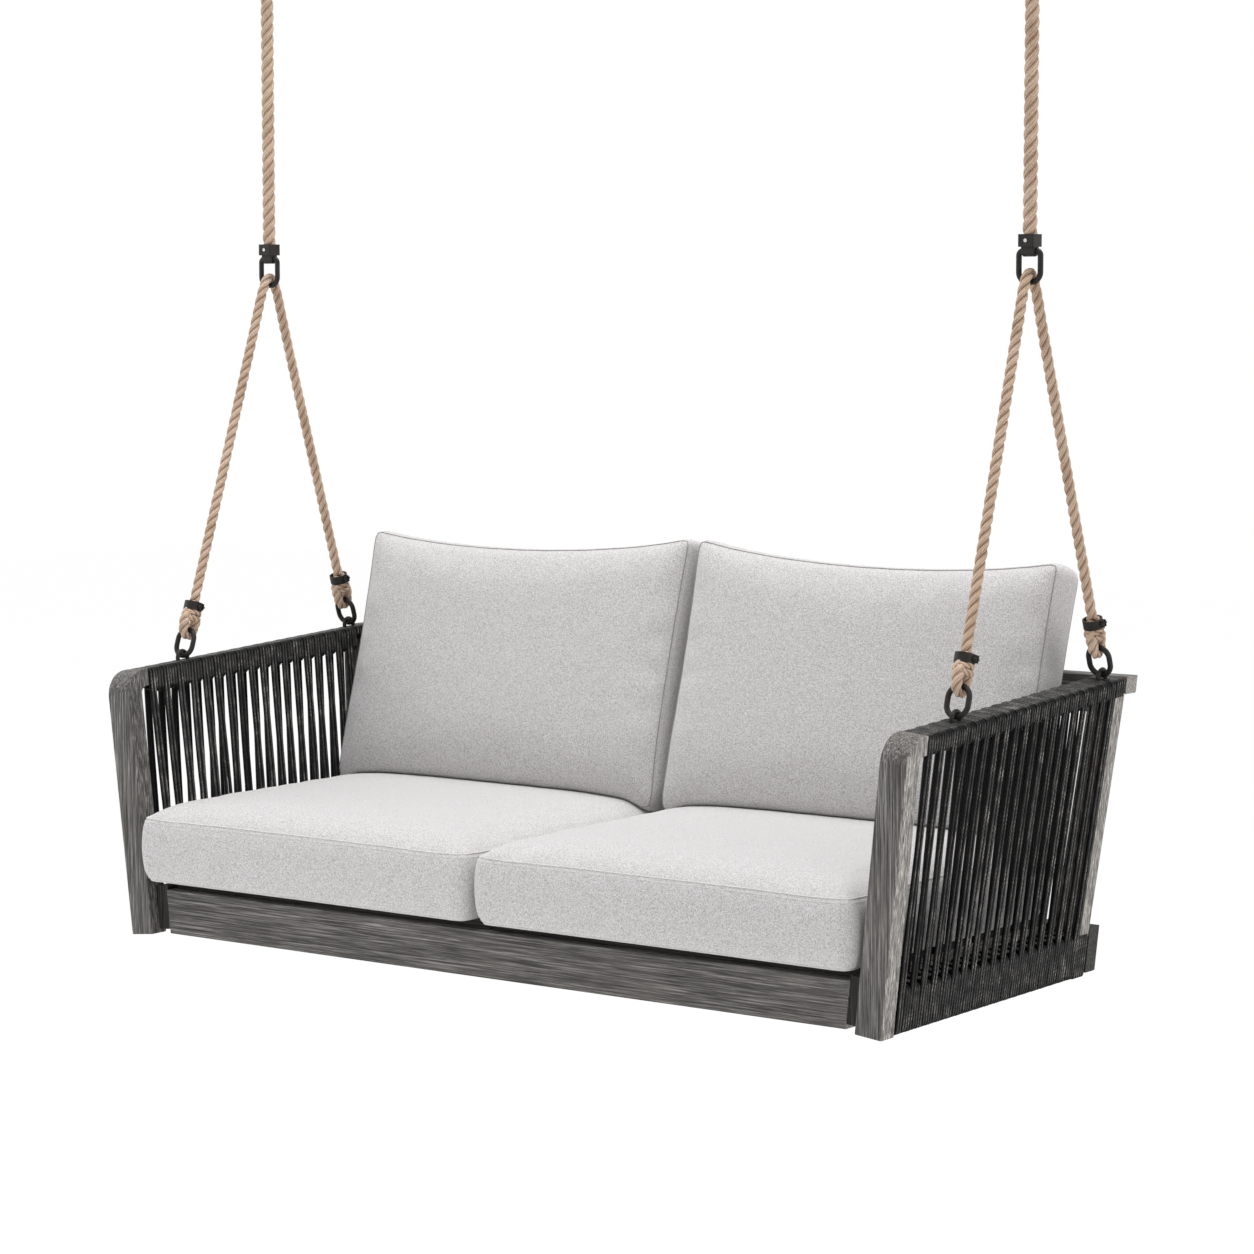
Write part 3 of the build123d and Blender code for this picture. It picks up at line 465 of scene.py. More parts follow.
def laid_rope(points, diameter, lay, sides=10, phase=0.0, step=0.003):
    """Three right-handed strands twisted round a line. diameter is one size, or sizes spread along the line.

    Besides the UVs it gives each vertex its distance from the line, from 0 to 1, by which shade is painted in the
    grooves.
    """
    line = evenly(points, step)
    tangents, normals, others = path_frames(line)
    along = np.arange(len(line)) * np.linalg.norm(line[1] - line[0])
    sizes = np.atleast_1d(diameter)
    sizes = np.interp(np.linspace(0, 1, len(line)), np.linspace(0, 1, len(sizes)), sizes)
    parts = []
    for strand in range(3):
        turn = phase + math.tau * (along / lay + strand / 3)
        way = normals * np.cos(turn)[:, None] + others * np.sin(turn)[:, None]
        vertices, faces, uvs = tube(line + way * (sizes * 0.22)[:, None], sizes * 0.282, sides)
        away = np.linalg.norm(vertices.reshape(-1, sides, 3) - line[:, None, :], axis=2) / (sizes / 2)[:, None]
        parts.append((vertices, faces, uvs, away.ravel()))
    return joined(parts)


# Camera and light
scene = bpy.context.scene
scene.view_settings.view_transform = "Standard"
camera = add_object("camera", bpy.data.cameras.new("camera"))
camera.data.sensor_width = 36.0
camera.data.lens = 100.74
camera.data.clip_end = 60.0
camera.location = (3.10910, -4.27326, -0.58997)
camera.rotation_euler = (math.radians(90 - 5.2254), 0, math.radians(35.925))
scene.camera = camera


def area_light(name, place, target, size, power):
    lamp = bpy.data.lights.new(name, "AREA")
    lamp.shape = "DISK"
    lamp.size = size
    lamp.energy = power
    light = add_object(name, lamp)
    light.location = place
    light.rotation_euler = (Vector(target) - Vector(place)).to_track_quat("-Z", "Y").to_euler()


area_light("top_light", (0.6, 0.3, 5.0), (0, 0, -1.3), 4.6, 396)
area_light("right_light", (3.6, 0.6, -0.4), (0.3, 0, -1.3), 1.8, 20)
area_light("left_light", (-3.4, -1.4, -0.2), (-0.3, 0, -1.3), 1.8, 19)
area_light("low_light", (-1.5, -3.7, -1.8), (0, -0.3, -1.4), 2.2, 25)
area_light("floor_light", (0.15, -2.1, -2.12), (0, -0.35, -1.45), 1.2, 5)


def seen(graph):
    """1 for rays by which a viewer sees the surroundings: straight, mirrored or through a surface."""
    rays = graph.add("ShaderNodeLightPath").outputs
    shown = rays["Is Camera Ray"]
    for ray in ("Is Glossy Ray", "Is Transmission Ray"):
        shown = graph.add("ShaderNodeMath", {0: shown, 1: rays[ray]}, operation="MAXIMUM").outputs[0]
    return shown


world = bpy.data.worlds.new("studio")
world.use_nodes = True
scene.world = world
studio = Graph(world.node_tree)
strength = studio.add("ShaderNodeMapRange", {"Value": seen(studio), "To Min": 0.45, "To Max": 1.0})
background = studio.tree.nodes["Background"]
background.inputs["Color"].default_value = grey(1)
studio.tree.links.new(strength.outputs[0], background.inputs["Strength"])

FLOOR_Z, FLOOR_REACH = -2.25, 14
corners = [(x * FLOOR_REACH, y * FLOOR_REACH, FLOOR_Z) for x, y in ((-1, -1), (1, -1), (1, 1), (-1, 1))]
floor_mesh = bpy.data.meshes.new("floor")
floor_mesh.from_pydata(corners, [], [(0, 1, 2, 3)])
floor = add_object("floor", floor_mesh)
pale = Shader("pale_floor", roughness=0.95, specular=0.05)
pale.shader.inputs["Base Color"].default_value = grey(0.86)
pale.finish(bump=pale.specks(40, 2.0), strength=0.05)
matt = pale.shader.outputs[0]
glow = pale.add("Emission", {"Color": grey(1), "Strength": 1.03})
bright = pale.add("MixShader", {0: 0.94, 1: matt, 2: glow.outputs[0]})
veil = pale.add("MixShader", {0: seen(pale), 1: matt, 2: bright.outputs[0]})
pale.tree.links.new(veil.outputs[0], pale.tree.nodes["Material Output"].inputs["Surface"])
floor_mesh.materials.append(pale.material)

# Ropes: routes from the construction, with a point about six diameters from the link on each long run
ROPE_TOP, ROPE_LOW = -0.0711, -0.5049
UPPER_LAY, BRIDLE_LAY = 0.054, 0.050  # length of one twist
SADDLE_Y, SADDLE_Z = 0.0112, -0.5440  # where the bridle rope bends over its link
FRONT_END = Vector((0.707569, -0.177663, -1.058409))
FRONT_NEAR = Vector((0.70145, -0.0400, -0.6405))
REAR_NEAR = Vector((0.70190, 0.0402, -0.6405))
REAR_END = Vector((0.709615, 0.174945, -1.035976))
for side, hand in SIDES:
    mirror = Vector((side, 1, 1))
    x = side * ROPE_X
    upper = [(x, 0, ROPE_TOP), (x, 0, -0.20), (x, 0, -0.36), (x, 0, ROPE_LOW)]
    line = spline_points("upper_route", upper)
    rope = new_object(f"upper_rope_strands_{hand}", ROPE, *laid_rope(line, UPPER_ROPE, UPPER_LAY))
    tie(rope, "hangers", f"upper_rope_{hand}")
    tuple(upper[0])

    saddle = [Vector((x, y, SADDLE_Z)) for y in (-SADDLE_Y, SADDLE_Y)]
    route = [FRONT_END * mirror, FRONT_NEAR * mirror, *saddle, REAR_NEAR * mirror, REAR_END * mirror]
    line = spline_points("bridle_route", route, 24)
    rope = new_object(f"bridle_rope_strands_{hand}", ROPE, *laid_rope(line, BRIDLE_ROPE, BRIDLE_LAY, phase=0.6))
    tie(rope, "bench", f"bridle_rope_{hand}")
    tuple(route[0])


# Cord windings
def arm_point(side, u, v, w):
    """A point in an arm's own frame: u along Y, v up the arm, w outward from its middle."""
    out = w - POST_WIDTH / 2
    x = ARM_FOOT_X + v * SPLAY_SIN + out * SPLAY_COS
    return Vector((side * x, u, FOOT_Z + v * SPLAY_COS - out * SPLAY_SIN))


def back_point(x, v, w):
    """A point in the back's own frame: v up from the lower rail, w forward."""
    up = (BACK_HIGH - BACK_LOW).normalized()
    return BACK_LOW + up * v + Vector((0, -up.z, up.y)) * w + Vector((x, 0, 0))


def in_arm(side, points):
    """u, v and w of points on an arm."""
    points = np.asarray(points)
    x, z = side * points[:, 0] - ARM_FOOT_X, points[:, 2] - FOOT_Z
    along, out = x * SPLAY_SIN + z * SPLAY_COS, x * SPLAY_COS - z * SPLAY_SIN
    return points[:, 1], along, out + POST_WIDTH / 2


def in_back(points):
    """x, v and w of points on the back."""
    up = np.array((BACK_HIGH - BACK_LOW).normalized())
    points = np.asarray(points) - np.array(BACK_LOW)
    return points[:, 0], points @ up, points @ np.array((0, -up[2], up[1]))


def standing_out(v, w, low, high, reach, cord):
    """1 on the outside of a cord wound round a rail, 0.5 at its sides and 0 on the rail."""
    return np.clip(np.maximum(np.abs(w) - reach, np.maximum(v - high, low - v)) / cord + 0.5, 0, 1)


def core_top(u):
    return ARM_CORE_TOP + (u - WRAP_START) * ARM_RISE


def winding_route(feet, tops, low, high, reach, sway):
    """Points of one cord round two rails: one each side of every corner, and two on each long leg that sways."""
    corners = [(feet[0], low, 0.0)]
    for i, (foot, top) in enumerate(zip(feet, tops)):
        corners += [(foot, low, reach), (top, high(top), reach), (top, high(top), -reach)]
        if i + 1 < len(feet):
            corners.append((feet[i + 1], low, -reach))
    corners.append((tops[-1], high(tops[-1]) - 2 * CORD, -reach))
    corners = [Vector(corner) for corner in corners]
    route = [corners[0]]
    for k, (before, corner, after) in enumerate(zip(corners, corners[1:], corners[2:])):
        run = after - corner
        route += [corner + (before - corner).normalized() * 0.009, corner, corner + run.normalized() * 0.009]
        if run.length > 0.1:
            route += [corner + run * share + Vector(sway[k, j]) for j, share in enumerate((0.33, 0.67))]
    return route + [corners[-1]]


def winding(name, place, back, feet, tops, low, high, reach, seed):
    """Two cords side by side, wound as one doubled strand whose legs sway a little."""
    chance = np.random.default_rng(seed)
    loose = np.where(np.arange(4 * len(feet)) < 4 * LOOSE_STRANDS, 1.7, 1.0)[:, None, None]
    shared = chance.normal(0.0, 1.0, (4 * len(feet), 2, 3)) * (0.0011, 0.0, 0.0003) * loose
    parts = []
    for twin in (-CORD_TWIN / 2, CORD_TWIN / 2):
        own = np.abs(chance.normal(0.0, 1.0, shared.shape)) * (math.copysign(0.0006, twin), 0.0, 0.0) * loose
        route = winding_route([f + twin for f in feet], [t + twin for t in tops], low, high, reach, shared + own)
        line = spline_points("winding_route", [place(*corner) for corner in route], 4)
        parts.append(tube(line, CORD / 2, 8))
    shape = joined(parts)
    u, v, w = back(shape[0])
    return new_object(name, BLACK_CORD, *shape, standing_out(v, w, low, high(u), reach, CORD))


back_length = (BACK_HIGH - BACK_LOW).length
for side, hand in SIDES:
    piece = winding(
        f"arm_cords_{hand}", lambda u, v, w: arm_point(side, u, v, w), lambda points: in_arm(side, points), ARM_FEET,
        ARM_TOPS, BASE_LOW - CORD_REACH, lambda u: core_top(u) + CORD_REACH, CORE_WIDTH / 2 + CORD_REACH, 5,
    )
    tie(piece, "bench", f"arm_winding_{hand}")
    step = (BACK_OUTER - BACK_INNER) / (BACK_STRANDS - 1)
    places = [side * (BACK_INNER + step * i) for i in range(BACK_STRANDS)]
    piece = winding(
        f"back_cords_{hand}", back_point, in_back, places, places, -CORE_HEIGHT / 2 - CORD_REACH,
        lambda x: back_length + CORE_HEIGHT / 2 + CORD_REACH, 0.011 + CORD_REACH, 8,
    )
    tie(piece, "bench", f"back_winding_{hand}")


# What repeats is grown from points by geometry trees
class Grower(Graph):
    """A geometry tree with named sizes that turns a skeleton of points or lines into a plain mesh."""

    def __init__(self, name, **sizes):
        super().__init__(bpy.data.node_groups.new(name, "GeometryNodeTree"))
        self.interface = self.tree.interface
        self.interface.new_socket("Skeleton", in_out="INPUT", socket_type="NodeSocketGeometry")
        for label, value in sizes.items():
            socket = self.interface.new_socket(label, in_out="INPUT", socket_type="NodeSocketFloat")
            socket.default_value = value
        self.interface.new_socket("Pieces", in_out="OUTPUT", socket_type="NodeSocketGeometry")
        self.start = self.tree.nodes.new("NodeGroupInput").outputs

    def end(self, points, instance, rotation, material):
        """Set an instance on each point, make them real, give them their material and send them out."""
        placed = self.add("InstanceOnPoints", {"Points": points, "Instance": instance, "Rotation": rotation})
        real = self.add("RealizeInstances", {0: placed.outputs[0]})
        smooth = self.add("SetShadeSmooth", {0: real.outputs[0]})
        finish = self.add("SetMaterial", {0: smooth.outputs[0], "Material": material})
        self.tree.links.new(finish.outputs[0], self.tree.nodes.new("NodeGroupOutput").inputs[0])

    def sum(self, first, second, times=1.0):
        """first plus so many times second."""
        return self.add("ShaderNodeMath", {0: second, 1: times, 2: first}, operation="MULTIPLY_ADD").outputs[0]

    def half(self, socket):
        return self.sum(0.0, socket, 0.5)

    def grow(self, name, points, edges=(), turns=None, **sizes):
        """A mesh object grown on points. turns gives each point its rotation."""
        skeleton = bpy.data.meshes.new(name)
        skeleton.from_pydata([tuple(p) for p in points], list(edges), [])
        if turns is not None:
            layer = skeleton.attributes.new("turn", "FLOAT_VECTOR", "POINT")
            layer.data.foreach_set("vector", np.asarray(turns, dtype=np.float32).ravel())
        piece = add_object(name, skeleton)
        grower = piece.modifiers.new("grower", "NODES")
        grower.node_group = self.tree
        for socket in self.interface.items_tree:
            if socket.in_out == "INPUT" and socket.name in sizes:
                grower[socket.identifier] = sizes[socket.name]
        mesh = final_mesh(piece)
        piece.modifiers.remove(grower)
        piece.data = mesh
        bpy.data.meshes.remove(skeleton)
        mesh.name = name
        if "turn" in mesh.attributes:
            mesh.attributes.remove(mesh.attributes["turn"])
        return piece


def turn_grower():
    """Single turns of cord round a rail with rounded edges, hanging lower by a drop on the inner side."""
    g = Grower("cord_turns", Width=0.04, Height=0.02, Corner=0.006, Cord=CORD, Drop=0.0)
    outer, top = g.half(g.start["Width"]), g.half(g.start["Height"])
    inner, low = (g.sum(0.0, size, -1.0) for size in (outer, top))
    corners = ((inner, g.sum(low, g.start["Drop"], -1.0)), (outer, low), (outer, top), (inner, top))
    spots = [g.add("ShaderNodeCombineXYZ", {0: x, 1: y}).outputs[0] for x, y in corners]
    places = {f"Point {i + 1}": spot for i, spot in enumerate(spots)}
    loop = g.add("CurvePrimitiveQuadrilateral", places, mode="POINTS")
    loop = g.add("FilletCurve", {"Curve": loop.outputs[0], "Radius": g.start["Corner"], "Count": 4}, mode="POLY")
    section = g.add("CurvePrimitiveCircle", {"Resolution": 8, "Radius": g.half(g.start["Cord"])})
    parameter = g.add("SplineParameter")
    marked = []
    for curve, value in ((loop, "Length"), (section, "Factor")):
        capture = g.add("CaptureAttribute")
        capture.capture_items.new("FLOAT", value)
        g.tree.links.new(curve.outputs[0], capture.inputs[0])
        g.tree.links.new(parameter.outputs[value], capture.inputs[value])
        marked.append(capture)
    turn = g.add("CurveToMesh", {"Curve": marked[0].outputs[0], "Profile Curve": marked[1].outputs[0]})
    pair = g.add("ShaderNodeCombineXYZ", {0: marked[0].outputs["Length"], 1: marked[1].outputs["Factor"]})
    mapped = {"Geometry": turn.outputs[0], "Name": "UVMap", "Value": pair.outputs[0]}
    mapped = g.add("StoreNamedAttribute", mapped, data_type="FLOAT2", domain="CORNER")
    way = g.add("InputNamedAttribute", {"Name": "turn"}, data_type="FLOAT_VECTOR")
    turned = g.add("FunctionNodeEulerToRotation", {0: way.outputs[0]})
    g.end(g.start["Skeleton"], mapped.outputs[0], turned.outputs[0], BLACK_CORD)
    return g


def stitch_grower():
    """Rows of small raised stitches along lines."""
    g = Grower("stitch_rows", Pitch=0.0072, Stitch=0.0050, Thread=0.0009)
    line = g.add("MeshToCurve", {0: g.start["Skeleton"]})
    line = g.add("ResampleCurve", {"Curve": line.outputs[0], "Length": g.start["Pitch"]}, mode="LENGTH")
    half = g.half(g.start["Stitch"])
    back = g.sum(0.0, half, -1.0)
    lift = g.sum(0.0, g.start["Thread"], 1.2)
    ends = [g.add("ShaderNodeCombineXYZ", {0: x}).outputs[0] for x in (back, half)]
    top = g.add("ShaderNodeCombineXYZ", {2: lift}).outputs[0]
    arch = g.add("CurveQuadraticBezier", {"Resolution": 3, "Start": ends[0], "Middle": top, "End": ends[1]})
    section = g.add("CurvePrimitiveCircle", {"Resolution": 5, "Radius": g.half(g.start["Thread"])})
    stitch = g.add("CurveToMesh", {"Curve": arch.outputs[0], "Profile Curve": section.outputs[0], "Fill Caps": True})
    way = g.add("FunctionNodeAlignRotationToVector", {"Vector": g.add("InputTangent").outputs[0]}, axis="X")
    g.end(line.outputs[0], stitch.outputs[0], way.outputs[0], THREAD)
    return g


# Turns of cord between the strands
TURN_CORD = 0.0062
TURN_RAISE, BASE_RAISE = 0.0034, 0.0040  # arm rail and base rail to the middle of a turn
TURN_CORNER = 0.006
RAIL_DROP = 0.0130  # how much lower the turns on an arm rail hang on the inner side
ARM_END_TURNS = (0.2140, 0.2202, 0.2264, 0.2326)
BASE_END_TURNS = np.arange(0.1770, 0.2070, TURN_CORD)
CORD_TURNS = turn_grower()


def rail_turn(side, lean=0.0):
    """Rotation of a turn on an arm: x outward, y up the arm, leaning along the rail."""
    out = Vector((side * SPLAY_COS, 0, -SPLAY_SIN))
    up = Vector((side * SPLAY_SIN, 0, SPLAY_COS))
    up = (up + Vector((0, math.tan(lean), 0))).normalized()
    return Matrix((out, up, out.cross(up))).transposed().to_euler()


def gap_places(start, end):
    """Places for whole turns of cord that fill the room between two strands."""
    room = end - start - 2 * CORD_TWIN + 0.0004
    count = max(1, round(room / TURN_CORD))
    return [(start + end) / 2 + (k - (count - 1) / 2) * min(TURN_CORD, room / count) for k in range(count)]


def open_turns(side, places, middle, half_width, half_height, over):
    """Turns that stop at a post: over the rail's top (over = 1) or under it (over = -1)."""
    parts = []
    for u in places:
        v = middle(u)
        route = [(half_width, -over * half_height), (half_width, over * (half_height - TURN_CORNER)),
                 (half_width, over * half_height), (half_width - TURN_CORNER, over * half_height)]
        route += [(-w, lift) for w, lift in reversed(route)]
        line = spline_points("turn_route", [arm_point(side, u, v + lift, w) for w, lift in route], 4)
        parts.append(tube(line, TURN_CORD / 2, 8))
    return parts


arm_half = (CORE_WIDTH / 2 + TURN_RAISE, CORE_HEIGHT / 2 + TURN_RAISE)
base_middle = (BASE_LOW + BASE_HIGH) / 2
base_half = (CORE_WIDTH / 2 + BASE_RAISE, (BASE_HIGH - BASE_LOW) / 2 + BASE_RAISE)


def turns_out(side, points, middle, half, drop=0.0):
    """How far the vertices of turns round a rail stand out."""
    u, v, w = in_arm(side, points)
    return standing_out(v - middle(u), w, -half[1] - drop * (0.5 - w / half[0] / 2), half[1], half[0], TURN_CORD)


def rail_middle(u):
    return core_top(u) - CORE_HEIGHT / 2


for side, hand in SIDES:
    places = [u for pair in zip(ARM_TOPS, ARM_TOPS[1:]) for u in gap_places(*pair)]
    piece = CORD_TURNS.grow(
        f"arm_rail_turns_{hand}", [arm_point(side, u, rail_middle(u), 0.0) for u in places],
        turns=[rail_turn(side) for _ in places], Width=2 * arm_half[0], Height=2 * arm_half[1], Cord=TURN_CORD,
        Drop=RAIL_DROP)
    mark(piece.data, turns_out(side, [v.co[:] for v in piece.data.vertices], rail_middle, arm_half, RAIL_DROP))
    tie(piece, "bench", f"arm_rail_wraps_{hand}")

    places, leans = [], []
    for i in range(STRANDS - 1):
        for u in gap_places(ARM_FEET[i], ARM_FEET[i + 1]):
            lean = math.atan2((ARM_TOPS[i] + ARM_TOPS[max(0, i - 1)]) / 2 - ARM_FEET[i], ARM_CORE_TOP)
            places.append(u + base_middle * math.tan(lean))
            leans.append(lean)
    piece = CORD_TURNS.grow(
        f"base_rail_turns_{hand}", [arm_point(side, u, base_middle, 0.0) for u in places],
        turns=[rail_turn(side, lean) for lean in leans], Width=2 * base_half[0], Height=2 * base_half[1],
        Cord=TURN_CORD)
    mark(piece.data, turns_out(side, [v.co[:] for v in piece.data.vertices], lambda u: base_middle, base_half))
    tie(piece, "bench", f"base_rail_wraps_{hand}")

    parts = []
    for places, middle, half, over in ((ARM_END_TURNS, rail_middle, arm_half, 1),
                                       (BASE_END_TURNS, lambda u: base_middle, base_half, -1)):
        for turn in open_turns(side, places, middle, *half, over):
            parts.append((*turn, turns_out(side, turn[0], middle, half)))
    piece = new_object(f"rail_end_turns_{hand}", BLACK_CORD, *joined(parts))
    tie(piece, "bench")


# Knots: the rope goes through its ring, back up behind, and is gripped by two turns under the collar
KNOT_SIDE = ((0.0045, 0.0400), (0.0070, 0.0310), (0.0105, 0.0220), (0.0122, 0.0100), (0.0112, -0.0030),
             (0.0058, -0.0108))  # forward of the ring's eye and above it
KNOT_SIZES = (0.013, 0.0172, 0.0178, 0.0148, 0.0124, 0.0148, 0.0178, 0.0172, 0.013)  # along the loop
GRIP_TURNS = ((0.5, 0.0262, 0.0018, 0.0116), (2.4, 0.0205, -0.0026, 0.0122))  # start, height, slope, radius
GRIP_ROPE, NECK_ROPE = 0.0096, 0.0212
LEGS = (
    (Vector((0.708795, -0.205, -1.141625)), Vector((-0.0140, 0.31207, 0.94996))),
    (Vector((0.711239, 0.203, -1.118946)), Vector((-0.01854, -0.32027, 0.94715))),
)


def bevelled_box(size, place, bevel):
    """A box with small chamfers, as vertices, faces and blank UVs."""
    mesh = bmesh.new()
    bmesh.ops.create_cube(mesh, size=1.0, matrix=Matrix.Diagonal((*size, 1.0)))
    bmesh.ops.bevel(mesh, geom=mesh.edges[:], offset=bevel, segments=2, affect="EDGES", profile=0.5)
    mesh.verts.ensure_lookup_table()
    vertices = [place @ v.co for v in mesh.verts]
    faces = [tuple(v.index for v in face.verts) for face in mesh.faces]
    mesh.free()
    return vertices, faces, [(0.0, 0.0)] * sum(len(face) for face in faces)


def hexagon_bolt(length, radius, place):
    """A bolt along its x, with a six-sided head and nut on a round shank."""
    stations = ((-0.5, 0.0), (-0.5, 1.6), (-0.26, 1.8), (-0.24, 1.8), (-0.22, 1.0), (0.22, 1.0), (0.24, 1.8),
                (0.26, 1.8), (0.5, 1.6), (0.5, 0.0))
    angles = np.arange(6) * math.pi / 3
    vertices, faces = [], []
    for x, size in stations:
        vertices += [place @ Vector((x * length, radius * size * math.cos(a), radius * size * math.sin(a)))
                     for a in angles]
    for i in range(len(stations) - 1):
        for k in range(6):
            n = (k + 1) % 6
            faces.append((i * 6 + k, (i + 1) * 6 + k, (i + 1) * 6 + n, i * 6 + n))
    return vertices, faces, [(0.0, 0.0)] * 4 * len(faces)


for side, hand in SIDES:
    parts, ears = [], []
    mirror = Vector((side, 1, 1))
    for low, way in LEGS:
        low, way = low * mirror, (way * mirror).normalized()
        across = (Vector((1, 0, 0)) - way * way.x).normalized()
        face = across.cross(way)
        eye = low + way * RING_HEIGHT

        def spot(forward, up, right=0.0):
            return eye - face * forward + way * up + across * right

        route = [spot(forward, up) for forward, up in KNOT_SIDE]
        route += [spot(-forward, up) for forward, up in reversed(KNOT_SIDE)]
        parts.append(laid_rope(spline_points("knot_route", route, 10), KNOT_SIZES, 0.042, 10, 0.4, 0.002))
        for start, lift, slope, wide in GRIP_TURNS:
            turn = [spot((wide + 0.0006) * math.cos(a), lift + slope * math.sin(a), wide * 0.92 * math.sin(a))
                    for a in np.linspace(start, start + math.tau * 1.03, 15)]
            parts.append(laid_rope(spline_points("grip_route", turn, 8), GRIP_ROPE, 0.026, 8, 0.0, 0.0016))
        neck = [spot(0, up) for up in (0.0240, 0.0310, 0.0380, 0.0445)]
        parts.append(laid_rope(spline_points("neck_route", neck, 8), NECK_ROPE, BRIDLE_LAY, 10, 0.0, 0.002))

        middle = eye + way * (KNOT_HIGH + COLLAR_HEIGHT / 2)
        ear_frame = Matrix((across, -face, way)).transposed().to_4x4()
        for shift in (-0.0026, 0.0026):
            place = Matrix.Translation(middle + across * (COLLAR_RADIUS + 0.0018) - face * shift) @ ear_frame
            ears.append(bevelled_box((0.0065, 0.0020, COLLAR_HEIGHT * 0.80), place, 0.0005))
        bolt = Matrix.Translation(middle + across * (COLLAR_RADIUS + 0.0026)) @ ear_frame
        ears.append(hexagon_bolt(0.0120, 0.0015, bolt @ Matrix.Rotation(math.pi / 2, 4, "Z")))
    piece = new_object(f"rope_knot_strands_{hand}", ROPE, *joined(parts))
    tie(piece, "bench", f"rope_knots_{hand}")
    piece = new_object(f"collar_bolts_{hand}", DARK_METAL, *joined(ears))
    piece.data.shade_flat()
    tie(piece, "bench")


# Cushions
STITCH_INSET = 0.0065  # seam to its row of stitches
SEAM_RADIUS = 0.0009


class Cushion:
    """A boxed cushion in its own frame: two panels, z up and down, and a sewn band between them."""

    cell = 0.0115

    def __init__(self, size, crowns, bows, corner, rows, tuck, under=0.0, droop=0.0):
        """tuck is how far the seams lie inside the band's fullest line, under how much further the lower one does,
        and droop how far the upper right ear hangs, or the left one if it is negative."""
        width, length, edge = size
        width, length = width - 2 * tuck, length - 2 * tuck
        self.size = size
        self.columns = int(round(width / self.cell)) + 1
        self.lines = int(round(length / self.cell)) + 1
        self.panel = self.columns * self.lines
        S, T = np.meshgrid(np.linspace(-1, 1, self.columns), np.linspace(-1, 1, self.lines), indexing="ij")
        low, right, high, left = bows
        X = S * (width / 2 - np.where(S > 0, right, left) * (1 - T ** 2) * np.abs(S))
        Y = T * (length / 2 - np.where(T > 0, high, low) * (1 - S ** 2) * np.abs(T))
        dx = np.abs(X) - (width / 2 - corner)
        dy = np.abs(Y) - (length / 2 - corner)
        inside = (dx > 0) & (dy > 0)
        reach = np.where(inside, np.maximum(dx, dy) / np.maximum(np.hypot(dx, dy), 1e-9), 1.0)
        X = np.where(inside, np.sign(X) * (width / 2 - corner + dx * reach), X)
        Y = np.where(inside, np.sign(Y) * (length / 2 - corner + dy * reach), Y)
        Y -= np.abs(droop) * ((1 + np.sign(droop) * S) / 2) ** 2 * ((1 + T) / 2) ** 2
        rise = np.sqrt((1 - S ** 4) * (1 - T ** 4))
        near = np.minimum(width / 2 * (1 - np.abs(S)), length / 2 * (1 - np.abs(T)))
        along = np.where((1 - np.abs(S)) * width < (1 - np.abs(T)) * length, Y, X)
        pucker = 0.0011 * np.sin(along * math.tau / 0.071 + 1.7 * np.sin(along * 19))
        pucker *= near / 0.016 * np.exp(1 - near / 0.016)
        heights = (edge / 2 + crowns[0] * rise + pucker, -edge / 2 - crowns[1] * rise)
        sheets = [np.stack([X, Y, Z], axis=-1).reshape(-1, 3) for Z in heights]
        sheets[1][:, :2] *= (1 - 2 * under / width, 1 - 2 * under / length)
        self.faces = []
        for i in range(self.columns - 1):
            for j in range(self.lines - 1):
                quad = [self.at(i, j), self.at(i + 1, j), self.at(i + 1, j + 1), self.at(i, j + 1)]
                self.faces += [tuple(quad), tuple(k + self.panel for k in quad[::-1])]
        grid = np.arange(self.panel).reshape(self.columns, self.lines)
        border = np.concatenate((grid[:, 0], grid[-1, 1:], grid[-2::-1, -1], grid[0, -2:0:-1]))
        rim = sheets[0][border]
        way = np.roll(rim, -1, 0) - np.roll(rim, 1, 0)
        away = np.stack([way[:, 1], -way[:, 0]], axis=1) / np.linalg.norm(way[:, :2], axis=1)[:, None]
        self.loops = [border]
        for row in range(1, rows):
            ring = rim.copy()
            ring[:, 2] = edge / 2 - edge * row / rows
            ring[:, :2] += away * (tuck * math.sin(math.pi * row / rows) ** 0.55 - under * (row / rows) ** 5)
            self.loops.append(2 * self.panel + (row - 1) * len(border) + np.arange(len(border)))
            sheets.append(ring)
        self.loops.append(border + self.panel)
        for above, below in zip(self.loops, self.loops[1:]):
            for k in range(len(border)):
                n = (k + 1) % len(border)
                self.faces.append((int(above[k]), int(below[k]), int(below[n]), int(above[n])))
        self.points = np.concatenate(sheets)

    def at(self, column, line):
        return column * self.lines + line

    def inflate(self, held, limit, pressure=4.0, frames=20):
        """Cloth with air inside. held are the points that stay, and none moves further than limit."""
        pad = new_object("inflated_pad", CLOTH, self.points, self.faces)
        pad.vertex_groups.new(name="held").add([int(i) for i in held], 1.0, "REPLACE")
        cloth = pad.modifiers.new("cloth", "CLOTH")
        settings = dict(quality=6, mass=0.3, tension_stiffness=18, compression_stiffness=12, shear_stiffness=6,
                        bending_stiffness=0.6, air_damping=2.0, use_pressure=True, uniform_pressure_force=pressure,
                        vertex_group_mass="held")
        for key, value in settings.items():
            setattr(cloth.settings, key, value)
        cloth.settings.effector_weights.gravity = 0.0
        cloth.point_cache.frame_start = scene.frame_start = 1
        cloth.point_cache.frame_end = scene.frame_end = frames
        for number in range(1, frames + 1):
            scene.frame_set(number)
        moved = pad.evaluated_get(bpy.context.evaluated_depsgraph_get())
        shift = np.array([v.co[:] for v in moved.data.vertices]) - self.points
        scene.frame_set(1)
        bpy.data.objects.remove(pad)
        far = np.linalg.norm(shift, axis=1)
        self.points += shift * (np.minimum(far, limit) / np.maximum(far, 1e-9))[:, None]

